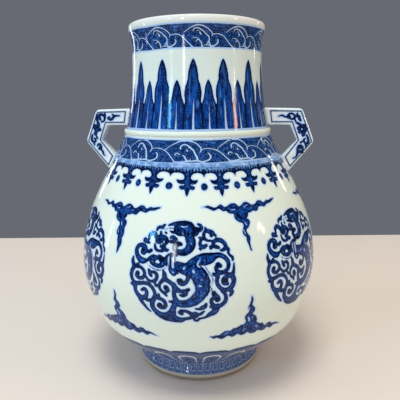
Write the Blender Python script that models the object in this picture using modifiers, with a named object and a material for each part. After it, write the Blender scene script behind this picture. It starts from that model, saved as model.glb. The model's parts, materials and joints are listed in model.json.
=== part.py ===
# Hu vase of blue and white porcelain, with two bent strap handles.
#
# The vase is made the way a potter makes one of this size. The body, the collar and the neck
# are thrown in sections and luted edge to edge, the foot ring is luted round the base, a raised
# string of clay is laid over each of the two upper joints, and the two handles are cut from a
# slab, bent and luted on. Each of those is a piece here, and a seam of 0.3 mm parts it from the
# next. Lengths are in metres, +Z is up, and the origin is on the axis at the level of the foot.

import math

import bpy
from mathutils import Vector


# Seams and facets
SEAM = 0.0003
SEGMENTS = 48
STRING_STEPS = 6
MERGE_DISTANCE = 0.00005

# How far a curve's handles reach along the sides of the corner that it rounds
CORNER_HOLD = 0.55

# Heights of the thrown sections, each standing on the one before it
FOOT_HEIGHT = 0.027
LOWER_BODY_HEIGHT = 0.138
UPPER_BODY_HEIGHT = 0.148
COLLAR_HEIGHT = 0.036
NECK_HEIGHT = 0.141

# Outer radii
FOOT_BASE_RADIUS = 0.0926
HIP_RADIUS = 0.1535
BELLY_RADIUS = 0.1713
SHOULDER_RADIUS = 0.1196
NECK_BASE_RADIUS = 0.1024
NECK_RADIUS = 0.0896
MOUTH_RADIUS = 0.0935

# Where the lower body turns, above its joint with the foot
HIP_RISE = 0.065

# How steeply the outline runs at the joints, in degrees from the level
UNDERSIDE_SLOPE = 36.0
HIP_SLOPE = 70.5
SHOULDER_SLOPE = 62.0
NECK_BASE_SLOPE = 76.0

# How far the outline holds its direction on each side of a turn
UNDERSIDE_EASE = 0.016
HIP_EASE_BELOW = 0.023
HIP_EASE_ABOVE = 0.028
BELLY_EASE_BELOW = 0.023
BELLY_EASE_ABOVE = 0.056
SHOULDER_EASE = 0.055
COLLAR_EASE = 0.012
NECK_EASE_BELOW = 0.040
NECK_EASE_ABOVE = 0.010
FOOT_EASE = 0.008

# Walls and floor
NECK_WALL = 0.0065
BODY_WALL = 0.0080
FLOOR_THICKNESS = 0.0130

# Foot ring, and the plug of the base that stands inside it
FOOT_SPLAY = 0.0056
FOOT_THICKNESS = 0.0141
FOOT_OUTER_ROUNDING = 0.0090
FOOT_INNER_ROUNDING = 0.0020
BASE_PLUG_DEPTH = 0.0100

# Mouth
LIP_DEPTH = 0.0260

# Raised strings over the joints, measured along the wall and out from it. The wall is slightly
# curved, so their flat backs stand a little clear of it.
STRING_BED = 2 * SEAM
NECK_STRING_WIDTH = 0.0064
NECK_STRING_RELIEF = 0.0030
SHOULDER_STRING_WIDTH = 0.0054
SHOULDER_STRING_RELIEF = 0.0017

# Handles: a strap of three limbs in the plane through the axis
STRAP_DEPTH = 0.0180
TOP_LIMB_WIDTH = 0.0237
GRIP_LIMB_WIDTH = 0.0235
LOWER_LIMB_WIDTH = 0.0215
HANDLE_RISE = 0.0304
TOP_ELBOW_REACH = 0.0578
LOW_ELBOW_REACH = 0.0756
LOW_ELBOW_DROP = 0.0468
LOWER_LIMB_SLOPE = 51.0
ELBOW_ROUNDING = 0.0045
STRAP_EDGE_ROUNDING = 0.0028

# Radii of the foot that follow from its base
FOOT_TOP_RADIUS = FOOT_BASE_RADIUS - FOOT_SPLAY
FOOT_INNER_RADIUS = FOOT_BASE_RADIUS - FOOT_THICKNESS

# Levels of the joints
FOOT_JOINT = FOOT_HEIGHT
BELLY_JOINT = FOOT_JOINT + LOWER_BODY_HEIGHT
SHOULDER_JOINT = BELLY_JOINT + UPPER_BODY_HEIGHT
NECK_JOINT = SHOULDER_JOINT + COLLAR_HEIGHT
TOP = NECK_JOINT + NECK_HEIGHT


def direction(degrees):
    """The unit step out and up at a slope from the level."""
    angle = math.radians(degrees)
    return Vector((math.cos(angle), math.sin(angle)))


def curve(start, leave, arrive, end, steps):
    """Points of a cubic curve. It leaves start along one vector and comes to end along another."""
    first = start + leave
    second = end - arrive
    points = []
    for index in range(steps + 1):
        t = index / steps
        points.append((1 - t) ** 3 * start + 3 * t * (1 - t) ** 2 * first
                      + 3 * t ** 2 * (1 - t) * second + t ** 3 * end)
    return points


def arc(centre, radius, start, end, steps):
    """Points of an arc between two angles in degrees, the ends included."""
    points = []
    for index in range(steps + 1):
        angle = start + (end - start) * index / steps
        points.append(centre + radius * direction(angle))
    return points


def offset(points, distance):
    """The outline moved along its own normals, outward when distance is positive."""
    moved = []
    for index, point in enumerate(points):
        before = points[max(index - 1, 0)]
        after = points[min(index + 1, len(points) - 1)]
        along = (after - before).normalized()
        moved.append(point + distance * Vector((-along.y, along.x)))
    return moved


def wall_inside(points, wall, level_ends=(0, -1)):
    """The inner face of a wall. Its level ends are the ones that meet another section."""
    inside = offset(points, -wall)
    for end in level_ends:
        tilt = abs((inside[end] - points[end]).x) / wall
        inside[end] = points[end] - Vector((wall / tilt, 0.0))
    return inside


def neck_outline():
    """Outer face of the neck, from the lip down to the string."""
    lip_edge = Vector((MOUTH_RADIUS, TOP - NECK_WALL / 2))
    waist = Vector((NECK_RADIUS, TOP - LIP_DEPTH))
    base = Vector((NECK_BASE_RADIUS, NECK_JOINT + SEAM))
    down = Vector((0.0, -1.0))
    spread = direction(-NECK_BASE_SLOPE)
    lip = curve(lip_edge, down * NECK_EASE_ABOVE, down * NECK_EASE_ABOVE, waist, 4)
    stem = curve(waist, down * NECK_EASE_BELOW, spread * NECK_EASE_BELOW, base, 7)
    return lip + stem[1:]


def collar_outline():
    """Outer face of the collar between the two strings."""
    top = Vector((NECK_BASE_RADIUS, NECK_JOINT))
    foot = Vector((SHOULDER_RADIUS, SHOULDER_JOINT + SEAM))
    leave = direction(-NECK_BASE_SLOPE) * COLLAR_EASE
    arrive = direction(-SHOULDER_SLOPE) * COLLAR_EASE
    return curve(top, leave, arrive, foot, 5)


def upper_body_outline():
    """Outer face of the body from the shoulder to the widest level."""
    top = Vector((SHOULDER_RADIUS, SHOULDER_JOINT))
    belly = Vector((BELLY_RADIUS, BELLY_JOINT + SEAM))
    leave = direction(-SHOULDER_SLOPE) * SHOULDER_EASE
    arrive = Vector((0.0, -BELLY_EASE_ABOVE))
    return curve(top, leave, arrive, belly, 10)


def lower_body_outline():
    """Outer face of the body from the widest level, round the hip, to the foot."""
    belly = Vector((BELLY_RADIUS, BELLY_JOINT))
    hip = Vector((HIP_RADIUS, FOOT_JOINT + HIP_RISE))
    joint = Vector((FOOT_TOP_RADIUS, FOOT_JOINT + SEAM))
    hip_way = -direction(HIP_SLOPE)
    joint_way = -direction(UNDERSIDE_SLOPE)
    side = curve(belly, Vector((0.0, -BELLY_EASE_BELOW)), hip_way * HIP_EASE_ABOVE, hip, 5)
    underside = curve(hip, hip_way * HIP_EASE_BELOW, joint_way * UNDERSIDE_EASE, joint, 7)
    return side + underside[1:]


def foot_outline():
    """Outer face of the foot ring, from its joint to the ring it stands on."""
    top = Vector((FOOT_TOP_RADIUS, FOOT_JOINT))
    edge = Vector((FOOT_BASE_RADIUS, FOOT_OUTER_ROUNDING))
    corner = Vector((FOOT_BASE_RADIUS - FOOT_OUTER_ROUNDING, FOOT_OUTER_ROUNDING))
    down = Vector((0.0, -FOOT_EASE))
    splay = curve(top, down, down, edge, 4)
    rounding = arc(corner, FOOT_OUTER_ROUNDING, 0, -90, 5)
    return splay + rounding[1:]


def vase_outline():
    """The whole outer face above the foot, as one outline."""
    sections = (neck_outline(), collar_outline(), upper_body_outline(), lower_body_outline())
    outline = list(sections[0])
    for section in sections[1:]:
        outline += section[1:]
    return outline


def string_section(joint, width, relief, bed):
    """Section of a raised string: a flat back laid along the wall and a rounded face."""
    outline = vase_outline()
    above = min((p for p in outline if p.y > joint + width / 2), key=lambda p: p.y)
    below = max((p for p in outline if p.y < joint - width / 2), key=lambda p: p.y)
    along = (below - above).normalized()
    out = Vector((-along.y, along.x))
    middle = above + along * ((above.y - joint) / -along.y)
    points = []
    for index in range(STRING_STEPS + 1):
        angle = math.pi * index / STRING_STEPS
        slide = -math.cos(angle) * width / 2
        points.append(middle + along * slide + out * (bed + relief * math.sin(angle)))
    return points


def material(name, colour, roughness):
    """A glazed or bare ceramic surface."""
    made = bpy.data.materials.new(name)
    made.use_nodes = True
    shader = made.node_tree.nodes["Principled BSDF"]
    shader.inputs["Base Color"].default_value = (*colour, 1.0)
    shader.inputs["Roughness"].default_value = roughness
    shader.inputs["Metallic"].default_value = 0.0
    made.diffuse_color = (*colour, 1.0)
    return made


def add_object(name, data, collection):
    made = bpy.data.objects.new(name, data)
    collection.objects.link(made)
    return made


def settle(name, source, collection, surface):
    """Turn what the modifiers or the curve make into a plain mesh, smooth on its round faces."""
    bpy.context.view_layer.update()
    graph = bpy.context.evaluated_depsgraph_get()
    mesh = bpy.data.meshes.new_from_object(source.evaluated_get(graph))
    mesh.name = name
    mesh.shade_smooth()
    mesh.set_sharp_from_angle(angle=math.radians(40))
    made = add_object(name, mesh, collection)
    made.matrix_world = source.matrix_world
    if surface is not None:
        mesh.materials.clear()
        mesh.materials.append(surface)
    bpy.data.objects.remove(source)
    return made


def turned(name, points, collection, surface, closed):
    """A profile on the +X side, swept round the axis. It runs down its outer side."""
    mesh = bpy.data.meshes.new(name + "_profile")
    edges = [(index, index + 1) for index in range(len(points) - 1)]
    if closed:
        edges.append((len(points) - 1, 0))
    mesh.from_pydata([(p.x, 0.0, p.y) for p in points], edges, [])
    profile = add_object(name + "_profile", mesh, collection)
    screw = profile.modifiers.new("Turn", "SCREW")
    screw.axis = "Z"
    screw.angle = math.tau
    screw.steps = SEGMENTS
    screw.render_steps = SEGMENTS
    screw.use_merge_vertices = True
    screw.merge_threshold = MERGE_DISTANCE
    return settle(name, profile, collection, surface)


def make_foot_ring(vase):
    """The splayed ring that the vase stands on, with its lower edge bare of glaze."""
    outer = foot_outline()
    inner_corner = Vector((FOOT_INNER_RADIUS + FOOT_INNER_ROUNDING, FOOT_INNER_ROUNDING))
    inner = arc(inner_corner, FOOT_INNER_ROUNDING, -90, -180, 3)
    inner.append(Vector((FOOT_INNER_RADIUS, FOOT_JOINT)))
    surface = material("foot glaze", (0.52, 0.58, 0.66), 0.20)
    return turned("foot_ring", outer + inner, vase, surface, closed=True)


def make_lower_body(vase):
    """The bowl of the body. Its base plug stands inside the foot ring."""
    outer = lower_body_outline()
    inner = wall_inside(outer, BODY_WALL, level_ends=(0,))
    plug_radius = FOOT_INNER_RADIUS - SEAM
    plug_foot = FOOT_JOINT - BASE_PLUG_DEPTH
    points = [Vector((0.0, plug_foot + FLOOR_THICKNESS))]
    points += inner[::-1] + outer
    points.append(Vector((plug_radius, FOOT_JOINT + SEAM)))
    points.append(Vector((plug_radius, plug_foot)))
    points.append(Vector((0.0, plug_foot)))
    surface = material("lower body glaze", (0.80, 0.84, 0.84), 0.15)
    return turned("lower_body", points, vase, surface, closed=False)


def make_wall_section(name, outline, wall, vase, colour):
    """A thrown section: a wall with a level edge at each end."""
    inner = wall_inside(outline, wall)
    surface = material(name + " glaze", colour, 0.15)
    return turned(name, outline + inner[::-1], vase, surface, closed=True)


def make_neck(vase):
    """The neck, with the lip rounded over from the outer face to the inner."""
    outer = neck_outline()
    inner = wall_inside(outer, NECK_WALL)
    lip_centre = Vector((MOUTH_RADIUS - NECK_WALL / 2, TOP - NECK_WALL / 2))
    lip = arc(lip_centre, NECK_WALL / 2, 180, 0, 6)
    surface = material("neck glaze", (0.62, 0.68, 0.76), 0.15)
    return turned("neck", outer + inner[:0:-1] + lip[:-1], vase, surface, closed=True)


def make_strings(vase):
    """The white string at the neck and the pale blue one at the shoulder."""
    white = material("neck string glaze", (0.84, 0.87, 0.86), 0.15)
    blue = material("shoulder string glaze", (0.45, 0.56, 0.72), 0.15)
    neck_section = string_section(
        NECK_JOINT, NECK_STRING_WIDTH, NECK_STRING_RELIEF, STRING_BED)
    shoulder_section = string_section(
        SHOULDER_JOINT, SHOULDER_STRING_WIDTH, SHOULDER_STRING_RELIEF, STRING_BED)
    turned("neck_string", neck_section, vase, white, closed=True)
    turned("shoulder_string", shoulder_section, vase, blue, closed=True)


def make_cutters(cutters):
    """What the handle ends are cut to: the outer face and the shoulder string, a seam larger."""
    outline = offset(vase_outline(), SEAM)
    above = Vector((0.0, outline[0].y))
    below = Vector((0.0, outline[-1].y))
    wall = turned("vase_cutter", [above] + outline + [below], cutters, None, closed=False)
    width = SHOULDER_STRING_WIDTH + 4 * SEAM
    relief = SHOULDER_STRING_RELIEF + STRING_BED + 3 * SEAM
    section = string_section(SHOULDER_JOINT, width, relief, -SEAM)
    string = turned("string_cutter", section, cutters, None, closed=True)
    for cutter in (wall, string):
        cutter.hide_render = True
        cutter.display_type = "WIRE"
    return wall, string


def crossing(point, way, other_point, other_way):
    """Where two lines in the handle's plane cross."""
    across = Vector((-other_way.y, other_way.x))
    return point + way * ((other_point - point).dot(across) / way.dot(across))


def rounded_corner(before, corner, after, radius, steps):
    """A corner of the strap eased by a short curve."""
    start = corner + (before - corner).normalized() * radius
    end = corner + (after - corner).normalized() * radius
    hold = radius * CORNER_HOLD
    leave = (corner - start).normalized() * hold
    arrive = (end - corner).normalized() * hold
    return curve(start, leave, arrive, end, steps)


def strap_outline():
    """Side outline of the bent strap. Both ends run on into the wall."""
    top = NECK_JOINT + HANDLE_RISE
    top_elbow = Vector((NECK_RADIUS + TOP_ELBOW_REACH, top))
    low_elbow = Vector((NECK_RADIUS + LOW_ELBOW_REACH, top - LOW_ELBOW_DROP))
    ways = (Vector((1.0, 0.0)), (low_elbow - top_elbow).normalized(), -direction(LOWER_LIMB_SLOPE))
    widths = (TOP_LIMB_WIDTH, GRIP_LIMB_WIDTH, LOWER_LIMB_WIDTH)
    corners = (top_elbow, top_elbow, low_elbow)
    inner_corners = []
    for corner, way, width in zip(corners, ways, widths):
        inner_corners.append(corner + Vector((way.y, -way.x)) * width)
    buried = NECK_RADIUS - NECK_WALL / 2
    top_start = Vector((buried, top))
    low_end = low_elbow + ways[2] * ((low_elbow.x - buried) / -ways[2].x)
    low_inner_end = inner_corners[2] + ways[2] * ((inner_corners[2].x - buried) / -ways[2].x)
    inner_low = crossing(inner_corners[1], ways[1], inner_corners[2], ways[2])
    inner_top = crossing(inner_corners[0], ways[0], inner_corners[1], ways[1])
    outline = [top_start]
    outline += rounded_corner(top_start, top_elbow, low_elbow, ELBOW_ROUNDING, 3)
    outline += rounded_corner(top_elbow, low_elbow, low_end, ELBOW_ROUNDING, 3)
    outline += [low_end, low_inner_end, inner_low, inner_top]
    outline.append(Vector((buried, top - TOP_LIMB_WIDTH)))
    return outline


def make_strap(collection):
    """The strap as a slab, before its ends are cut."""
    shape = bpy.data.curves.new("strap", "CURVE")
    shape.dimensions = "2D"
    shape.fill_mode = "BOTH"
    shape.extrude = STRAP_DEPTH / 2
    outline = strap_outline()
    spline = shape.splines.new("POLY")
    spline.points.add(len(outline) - 1)
    for point, place in zip(spline.points, outline):
        point.co = (place.x, place.y, 0.0, 1.0)
    spline.use_cyclic_u = True
    return add_object("strap", shape, collection)


def make_handles(vase, cut_by):
    """Two straps, each on its own side, with rounded edges and ends that seat on the wall."""
    for name, turn in (("handle_right", 0.0), ("handle_left", math.pi)):
        surface = material(name + " glaze", (0.76, 0.81, 0.85), 0.15)
        handle = settle(name, make_strap(vase), vase, surface)
        handle.rotation_euler = (math.pi / 2, 0.0, turn)
        weld = handle.modifiers.new("Weld the caps", "WELD")
        weld.merge_threshold = MERGE_DISTANCE
        rounding = handle.modifiers.new("Round the edges", "BEVEL")
        rounding.width = STRAP_EDGE_ROUNDING
        rounding.segments = 2
        rounding.limit_method = "ANGLE"
        rounding.angle_limit = math.radians(50)
        for cutter in cut_by:
            seat = handle.modifiers.new("Cut to " + cutter.name, "BOOLEAN")
            seat.operation = "DIFFERENCE"
            seat.object = cutter


def build():
    for old in list(bpy.data.objects):
        bpy.data.objects.remove(old)
    vase = bpy.data.collections.new("hu_vase")
    cutters = bpy.data.collections.new("cutters")
    bpy.context.scene.collection.children.link(vase)
    bpy.context.scene.collection.children.link(cutters)
    make_foot_ring(vase)
    make_lower_body(vase)
    make_wall_section("upper_body", upper_body_outline(), BODY_WALL, vase, (0.82, 0.86, 0.85))
    make_wall_section("collar", collar_outline(), BODY_WALL, vase, (0.30, 0.40, 0.62))
    make_neck(vase)
    make_strings(vase)
    make_handles(vase, make_cutters(cutters))


build()
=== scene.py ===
# %% [markdown]
# # A large blue and white hu vase
# This lesson dresses a packed CAD model of a porcelain vase for a studio picture. The CAD model
# gives the sizes and the places. Each surface that shows is made again here as a fine, smooth
# skin, and the cobalt painting is drawn on it stroke by stroke, as a painter would with a brush.
# %% Load the frame
import json
import math

import bpy
import numpy as np
from mathutils import Matrix, Vector

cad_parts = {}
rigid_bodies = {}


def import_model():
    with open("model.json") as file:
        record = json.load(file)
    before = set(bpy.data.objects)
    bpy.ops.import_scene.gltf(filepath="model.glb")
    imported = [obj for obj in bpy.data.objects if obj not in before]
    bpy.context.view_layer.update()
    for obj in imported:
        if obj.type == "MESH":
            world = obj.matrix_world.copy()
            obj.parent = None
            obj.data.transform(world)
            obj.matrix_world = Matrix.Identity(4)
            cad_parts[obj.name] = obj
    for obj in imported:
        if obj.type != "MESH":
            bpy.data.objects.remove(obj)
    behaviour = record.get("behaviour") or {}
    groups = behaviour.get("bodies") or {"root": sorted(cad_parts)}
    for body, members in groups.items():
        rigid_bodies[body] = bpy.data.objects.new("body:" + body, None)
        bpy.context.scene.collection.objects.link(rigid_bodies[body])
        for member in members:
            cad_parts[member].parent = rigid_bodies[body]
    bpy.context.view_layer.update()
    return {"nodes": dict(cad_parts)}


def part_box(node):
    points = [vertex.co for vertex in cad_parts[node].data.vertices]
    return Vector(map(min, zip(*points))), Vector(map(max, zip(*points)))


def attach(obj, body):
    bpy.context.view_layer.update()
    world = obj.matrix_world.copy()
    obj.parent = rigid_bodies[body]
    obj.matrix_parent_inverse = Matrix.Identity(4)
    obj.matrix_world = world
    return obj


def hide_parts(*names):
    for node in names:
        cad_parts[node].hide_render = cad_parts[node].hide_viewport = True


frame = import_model()
MM = 0.001


# %% [markdown]
# ## Where things are
# A turned piece is known from its outline in one upright half plane. The CAD pieces were spun
# from such outlines, so the edges of their meshes that lie in the plane y = 0 give them back.
# Walking along those edges puts the points in order, as (radius, height) pairs.
# %% Read the outlines of the turned CAD pieces
TURNED_NODES = (
    "foot_ring", "lower_body", "upper_body", "collar", "neck", "neck_string", "shoulder_string",
)
SLACK = 0.05 * MM


def outline_of(node):
    """The points of a turned node's outline in order, as rows of radius and height."""
    mesh = frame["nodes"][node].data
    spots = []
    for vertex in mesh.vertices:
        in_plane = abs(vertex.co.y) < 1e-6 and vertex.co.x > -1e-6
        spots.append((round(vertex.co.x, 5), round(vertex.co.z, 5)) if in_plane else None)
    links = {}
    for edge in mesh.edges:
        first, second = (spots[index] for index in edge.vertices)
        if first and second and first != second:
            links.setdefault(first, set()).add(second)
            links.setdefault(second, set()).add(first)
    ends = sorted(spot for spot in links if len(links[spot]) == 1)
    walk = [ends[0] if ends else max(links, key=lambda spot: (spot[1], spot[0]))]
    while len(walk) < len(links):
        walk.append(next(spot for spot in sorted(links[walk[-1]]) if spot not in walk))
    return np.array(walk)


def corner(outline, level, outer=True):
    """The outermost or innermost point of an outline at a level."""
    there = outline[np.abs(outline[:, 1] - level) < SLACK]
    return there[there[:, 0].argmax() if outer else there[:, 0].argmin()]


def stretch(outline, start, end, outer=True):
    """The points of an outline from start to end, by its outer or its inner side."""
    first = int(np.hypot(*(outline - start).T).argmin())
    around = np.roll(outline, -first, axis=0)
    last = int(np.hypot(*(around - end).T).argmin())
    one_way = around[:last + 1]
    other_way = np.vstack([around[:1], around[:last - 1:-1]])
    ways = sorted((one_way, other_way), key=lambda way: way[:, 0].mean())
    return ways[1] if outer else ways[0]


outlines = {}
for node in TURNED_NODES:
    outlines[node] = outline_of(node)
    print(node, "has", len(outlines[node]), "points in its outline")

# %% [markdown]
# ## The joints
# The vase is thrown in sections, which are luted edge to edge with wet clay. The CAD pieces leave a
# narrow seam there. The new pieces meet in the middle of it, so that no gap shows.
# %% Find the joints
LEVELS = {node: (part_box(node)[0].z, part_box(node)[1].z) for node in outlines}
SKIN_FOOT = 27.3 * MM  # where the outside of the lower body meets the foot ring
FOOT_JOINT = (LEVELS["foot_ring"][1] + corner(outlines["lower_body"], SKIN_FOOT)[1]) / 2
BELLY_JOINT = (LEVELS["lower_body"][1] + LEVELS["upper_body"][0]) / 2
SHOULDER_JOINT = (LEVELS["upper_body"][1] + LEVELS["collar"][0]) / 2
NECK_JOINT = (LEVELS["collar"][1] + LEVELS["neck"][0]) / 2
MOUTH = LEVELS["neck"][1]
for joint in (FOOT_JOINT, BELLY_JOINT, SHOULDER_JOINT, NECK_JOINT):
    print("a joint lies at", round(joint / MM, 2), "mm")

# %% [markdown]
# ## A smooth line through points
# The potter trims the wall to one flowing line. Straight steps between the CAD's points would show
# in the glaze's reflections at once. A natural cubic spline bends through them as a draughtsman's
# lath would, and it has no kink anywhere.
# %% Draw a smooth line
CLOSEST_POINTS = 0.6 * MM


def natural_spline(knots, values, places):
    """A natural cubic spline through values at knots, read at other places."""
    gaps = np.diff(knots)
    slopes = np.diff(values) / gaps
    count = len(knots)
    matrix = np.eye(count)
    right = np.zeros(count)
    for row in range(1, count - 1):
        matrix[row, row - 1:row + 2] = gaps[row - 1], 2 * (gaps[row - 1] + gaps[row]), gaps[row]
        right[row] = 6 * (slopes[row] - slopes[row - 1])
    bend = np.linalg.solve(matrix, right)
    span = np.clip(np.searchsorted(knots, places) - 1, 0, count - 2)
    gap = gaps[span]
    before = places - knots[span]
    after = knots[span + 1] - places
    curved = (bend[span] * after ** 3 + bend[span + 1] * before ** 3) / (6 * gap)
    first = (values[span] / gap - bend[span] * gap / 6) * after
    second = (values[span + 1] / gap - bend[span + 1] * gap / 6) * before
    return curved + first + second


def smoothed(points, spacing=0.25 * MM):
    """A fine, smooth line through an outline's points, with the length along it."""
    keep = [0]
    for index in range(1, len(points)):
        if np.hypot(*(points[index] - points[keep[-1]])) > CLOSEST_POINTS:
            keep.append(index)
    points = points[keep]
    knots = np.concatenate([[0], np.cumsum(np.hypot(*np.diff(points, axis=0).T))])
    places = np.linspace(0, knots[-1], int(knots[-1] / spacing))
    line = np.stack([natural_spline(knots, points[:, axis], places) for axis in (0, 1)], axis=1)
    along = np.concatenate([[0], np.cumsum(np.hypot(*np.diff(line, axis=0).T))])
    return line, along


corners = np.array([(0, 0), (3, 4), (6, 8)]) * MM
print("a smooth line through three points is", round(smoothed(corners)[1][-1] / MM, 2), "mm long")


# %% [markdown]
# ## One flowing outline
# The outer points of all the sections are joined to one list, which goes on over the lip and down
# inside the neck. So the sections take their skins from one line, and no joint shows.
# %% Join the sections to one outline
def outer_side(node, low, high):
    """The outer side of a section, from its foot to its top."""
    outline = outlines[node]
    return stretch(outline, corner(outline, low), corner(outline, high))


neck = outlines["neck"]
lip_top = corner(neck, MOUTH)
inside_neck = stretch(neck, lip_top, corner(neck, LEVELS["neck"][0], outer=False), outer=False)
skin_points = np.vstack([
    outer_side("lower_body", SKIN_FOOT, LEVELS["lower_body"][1]),
    outer_side("upper_body", *LEVELS["upper_body"]),
    outer_side("collar", *LEVELS["collar"]),
    outer_side("neck", *LEVELS["neck"]),
    inside_neck[1:],
])
skin, skin_length = smoothed(skin_points)
BELLY_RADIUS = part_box("lower_body")[1].x
skin[:, 0] = np.minimum(skin[:, 0], BELLY_RADIUS)
lip_index = int(skin[:, 1].argmax())
outer_skin = skin[:lip_index + 1]
outer_length = skin_length[:lip_index + 1]


def length_at(height):
    """How far up the outer skin a height lies, measured along the wall from the foot joint."""
    return np.interp(height, outer_skin[:, 1], outer_length)


def radius_at(height):
    """The outer radius of the vase at a height."""
    return np.interp(height, outer_skin[:, 1], outer_skin[:, 0])


print("the wall is", round(outer_length[-1] / MM), "mm long from the foot joint to the lip")

# %% [markdown]
# ## Camera
# The picture is taken from a little to the right, above the belly and below the lip, as a hand
# holds a camera in front of a table. The lens is fairly wide, so the foot looks smaller than the
# mouth. The camera leans by half a degree, and a slight shift keeps the vase left of the middle.
# %% Set the camera
HEIGHT = MOUTH
CAMERA_DISTANCE = 1.339 * HEIGHT
CAMERA_HEIGHT = 0.793 * HEIGHT
CAMERA_SIDE = math.radians(6.75)
CAMERA_TILT = math.radians(12.41)
CAMERA_LEAN = math.radians(0.5)
SENSOR_WIDTH = 36
LENS = 40.34
LENS_SHIFT = 0.00475

bpy.ops.object.camera_add()
camera = bpy.context.object
camera.name = "camera"
camera.data.sensor_width = SENSOR_WIDTH
camera.data.lens = LENS
camera.data.shift_x = LENS_SHIFT
camera.location.x = CAMERA_DISTANCE * math.sin(CAMERA_SIDE)
camera.location.y = -CAMERA_DISTANCE * math.cos(CAMERA_SIDE)
camera.location.z = CAMERA_HEIGHT
turn = Matrix.Rotation(CAMERA_SIDE, 3, "Z") @ Matrix.Rotation(math.pi / 2 - CAMERA_TILT, 3, "X")
camera.rotation_euler = (turn @ Matrix.Rotation(-CAMERA_LEAN, 3, "Z")).to_euler()
bpy.context.scene.camera = camera
print("camera at", [round(value, 3) for value in camera.location])


# %% [markdown]
# ## Shader maths as plain expressions
# A painted surface needs sums of masks and noises. They could be wired by hand in the shader
# editor. Here one small class wraps an output socket, so that a line such as 1 - mask * 0.5 adds
# the Math nodes itself.
# %% Wrap a socket
class Channel:
    """A number that varies over a surface: one output socket, with arithmetic."""

    def __init__(self, sheet, socket):
        self.sheet = sheet
        self.socket = socket

    def __add__(self, other):
        return self.sheet.maths("ADD", self, other)

    def __sub__(self, other):
        return self.sheet.maths("SUBTRACT", self, other)

    def __mul__(self, other):
        return self.sheet.maths("MULTIPLY", self, other)

    def __rsub__(self, other):
        return self.sheet.maths("SUBTRACT", other, self)

    __radd__ = __add__
    __rmul__ = __mul__


print("a channel can be added, subtracted and multiplied")


# %% [markdown]
# ## A sheet of nodes
# A second class holds the node tree of a material or of the world. One method of it adds any node
# from its type, its settings and its inputs, and the others are short names for the nodes that
# come up all the time.
# %% Wrap a node tree
class Sheet:
    """The node tree of a material or of the world, and what adds nodes to it."""

    def __init__(self, owner):
        owner.use_nodes = True
        self.tree = owner.node_tree

    def node(self, kind, settings=None, **inputs):
        """A node of a kind. Settings come first, then the values or links of its sockets."""
        made = self.tree.nodes.new(kind)
        for name, value in (settings or {}).items():
            setattr(made, name, value)
        self.feed(made, inputs)
        return made

    def feed(self, node, inputs):
        """Values or links for a node's sockets. A name such as i0 means the socket's number."""
        for name, value in inputs.items():
            numbered = name[1:].isdigit()
            socket = node.inputs[int(name[1:]) if numbered else name.replace("_", " ")]
            if isinstance(value, Channel):
                value = value.socket
            if isinstance(value, bpy.types.NodeSocket):
                self.tree.links.new(value, socket)
            else:
                socket.default_value = value

    def maths(self, operation, first, second=0.0):
        """One Math node."""
        made = self.node("ShaderNodeMath", {"operation": operation}, i0=first, i1=second)
        return Channel(self, made.outputs[0])

    def greatest(self, first, *others):
        """The greatest of several numbers."""
        for other in others:
            first = self.maths("MAXIMUM", first, other)
        return first

    def noise(self, scale, detail=2.0, roughness=0.5, stretched=None):
        """Noise between 0 and 1, its scale in bumps to a metre, drawn out by a scale on each axis."""
        where = self.place
        if stretched:
            where = self.node("ShaderNodeMapping", Vector=where, Scale=stretched).outputs[0]
        inputs = {"Vector": where, "Scale": scale, "Detail": detail, "Roughness": roughness}
        return Channel(self, self.node("ShaderNodeTexNoise", **inputs).outputs["Fac"])

    def attribute(self, name):
        """A number painted on the mesh, in millimetres."""
        made = self.node("ShaderNodeAttribute", {"attribute_name": name})
        return Channel(self, made.outputs["Fac"])

    def ramp(self, value, low, high):
        """A smooth step from 0 to 1 as value goes from low to high."""
        settings = {"interpolation_type": "SMOOTHSTEP"}
        made = self.node("ShaderNodeMapRange", settings, i0=value, i1=low, i2=high)
        return Channel(self, made.outputs[0])

    def blend(self, first, second, factor):
        """One colour over another."""
        settings = {"data_type": "RGBA"}
        made = self.node("ShaderNodeMix", settings, i0=factor, i6=first, i7=second)
        return made.outputs[2]


def new_sheet(name):
    """A new material's sheet, with its Principled shader and the place on the piece."""
    material = bpy.data.materials.new(name)
    sheet = Sheet(material)
    sheet.material = material
    sheet.shader = sheet.tree.nodes["Principled BSDF"]
    sheet.place = sheet.node("ShaderNodeTexCoord").outputs["Object"]
    return sheet


print("a sheet can add", [name for name in vars(Sheet) if not name.startswith("_")])


# %% [markdown]
# ## Colours
# A colour picked on a screen is coded for the eye, while shaders work with amounts of light. Typed
# in as it is, it would come out too pale, so it is converted first.
# %% Convert a colour
def colour(red, green, blue):
    """A colour as it is read from a screen, 0 to 255, in the linear values that shaders use."""
    steps = []
    for value in (red, green, blue):
        part = value / 255
        steps.append(part / 12.92 if part <= 0.04045 else ((part + 0.055) / 1.055) ** 2.4)
    return (*steps, 1.0)


print("white reads as", colour(255, 255, 255), "and middle grey as", colour(128, 128, 128))

# %% [markdown]
# ## Floor and room
# The vase stands on a plain pale floor. The room could be walls, but a world background is simpler
# and has no seams. Its light is faint and even. What the camera and the glaze's reflections see of
# it is a plain grey, which Light Path picks by the kind of ray, so the grey adds no light.
# %% Set the floor and the room
FLOOR_HALF = 3.0
FLOOR_BACK = 0.61
FLOOR_DROP = 0.2 * MM
FLOOR_COLOUR = colour(238, 226, 214)
BACKDROP = colour(103, 106, 115)
ROOM_COLOUR = (0.66, 0.67, 0.70, 1.0)
ROOM_STRENGTH = 0.54

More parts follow.
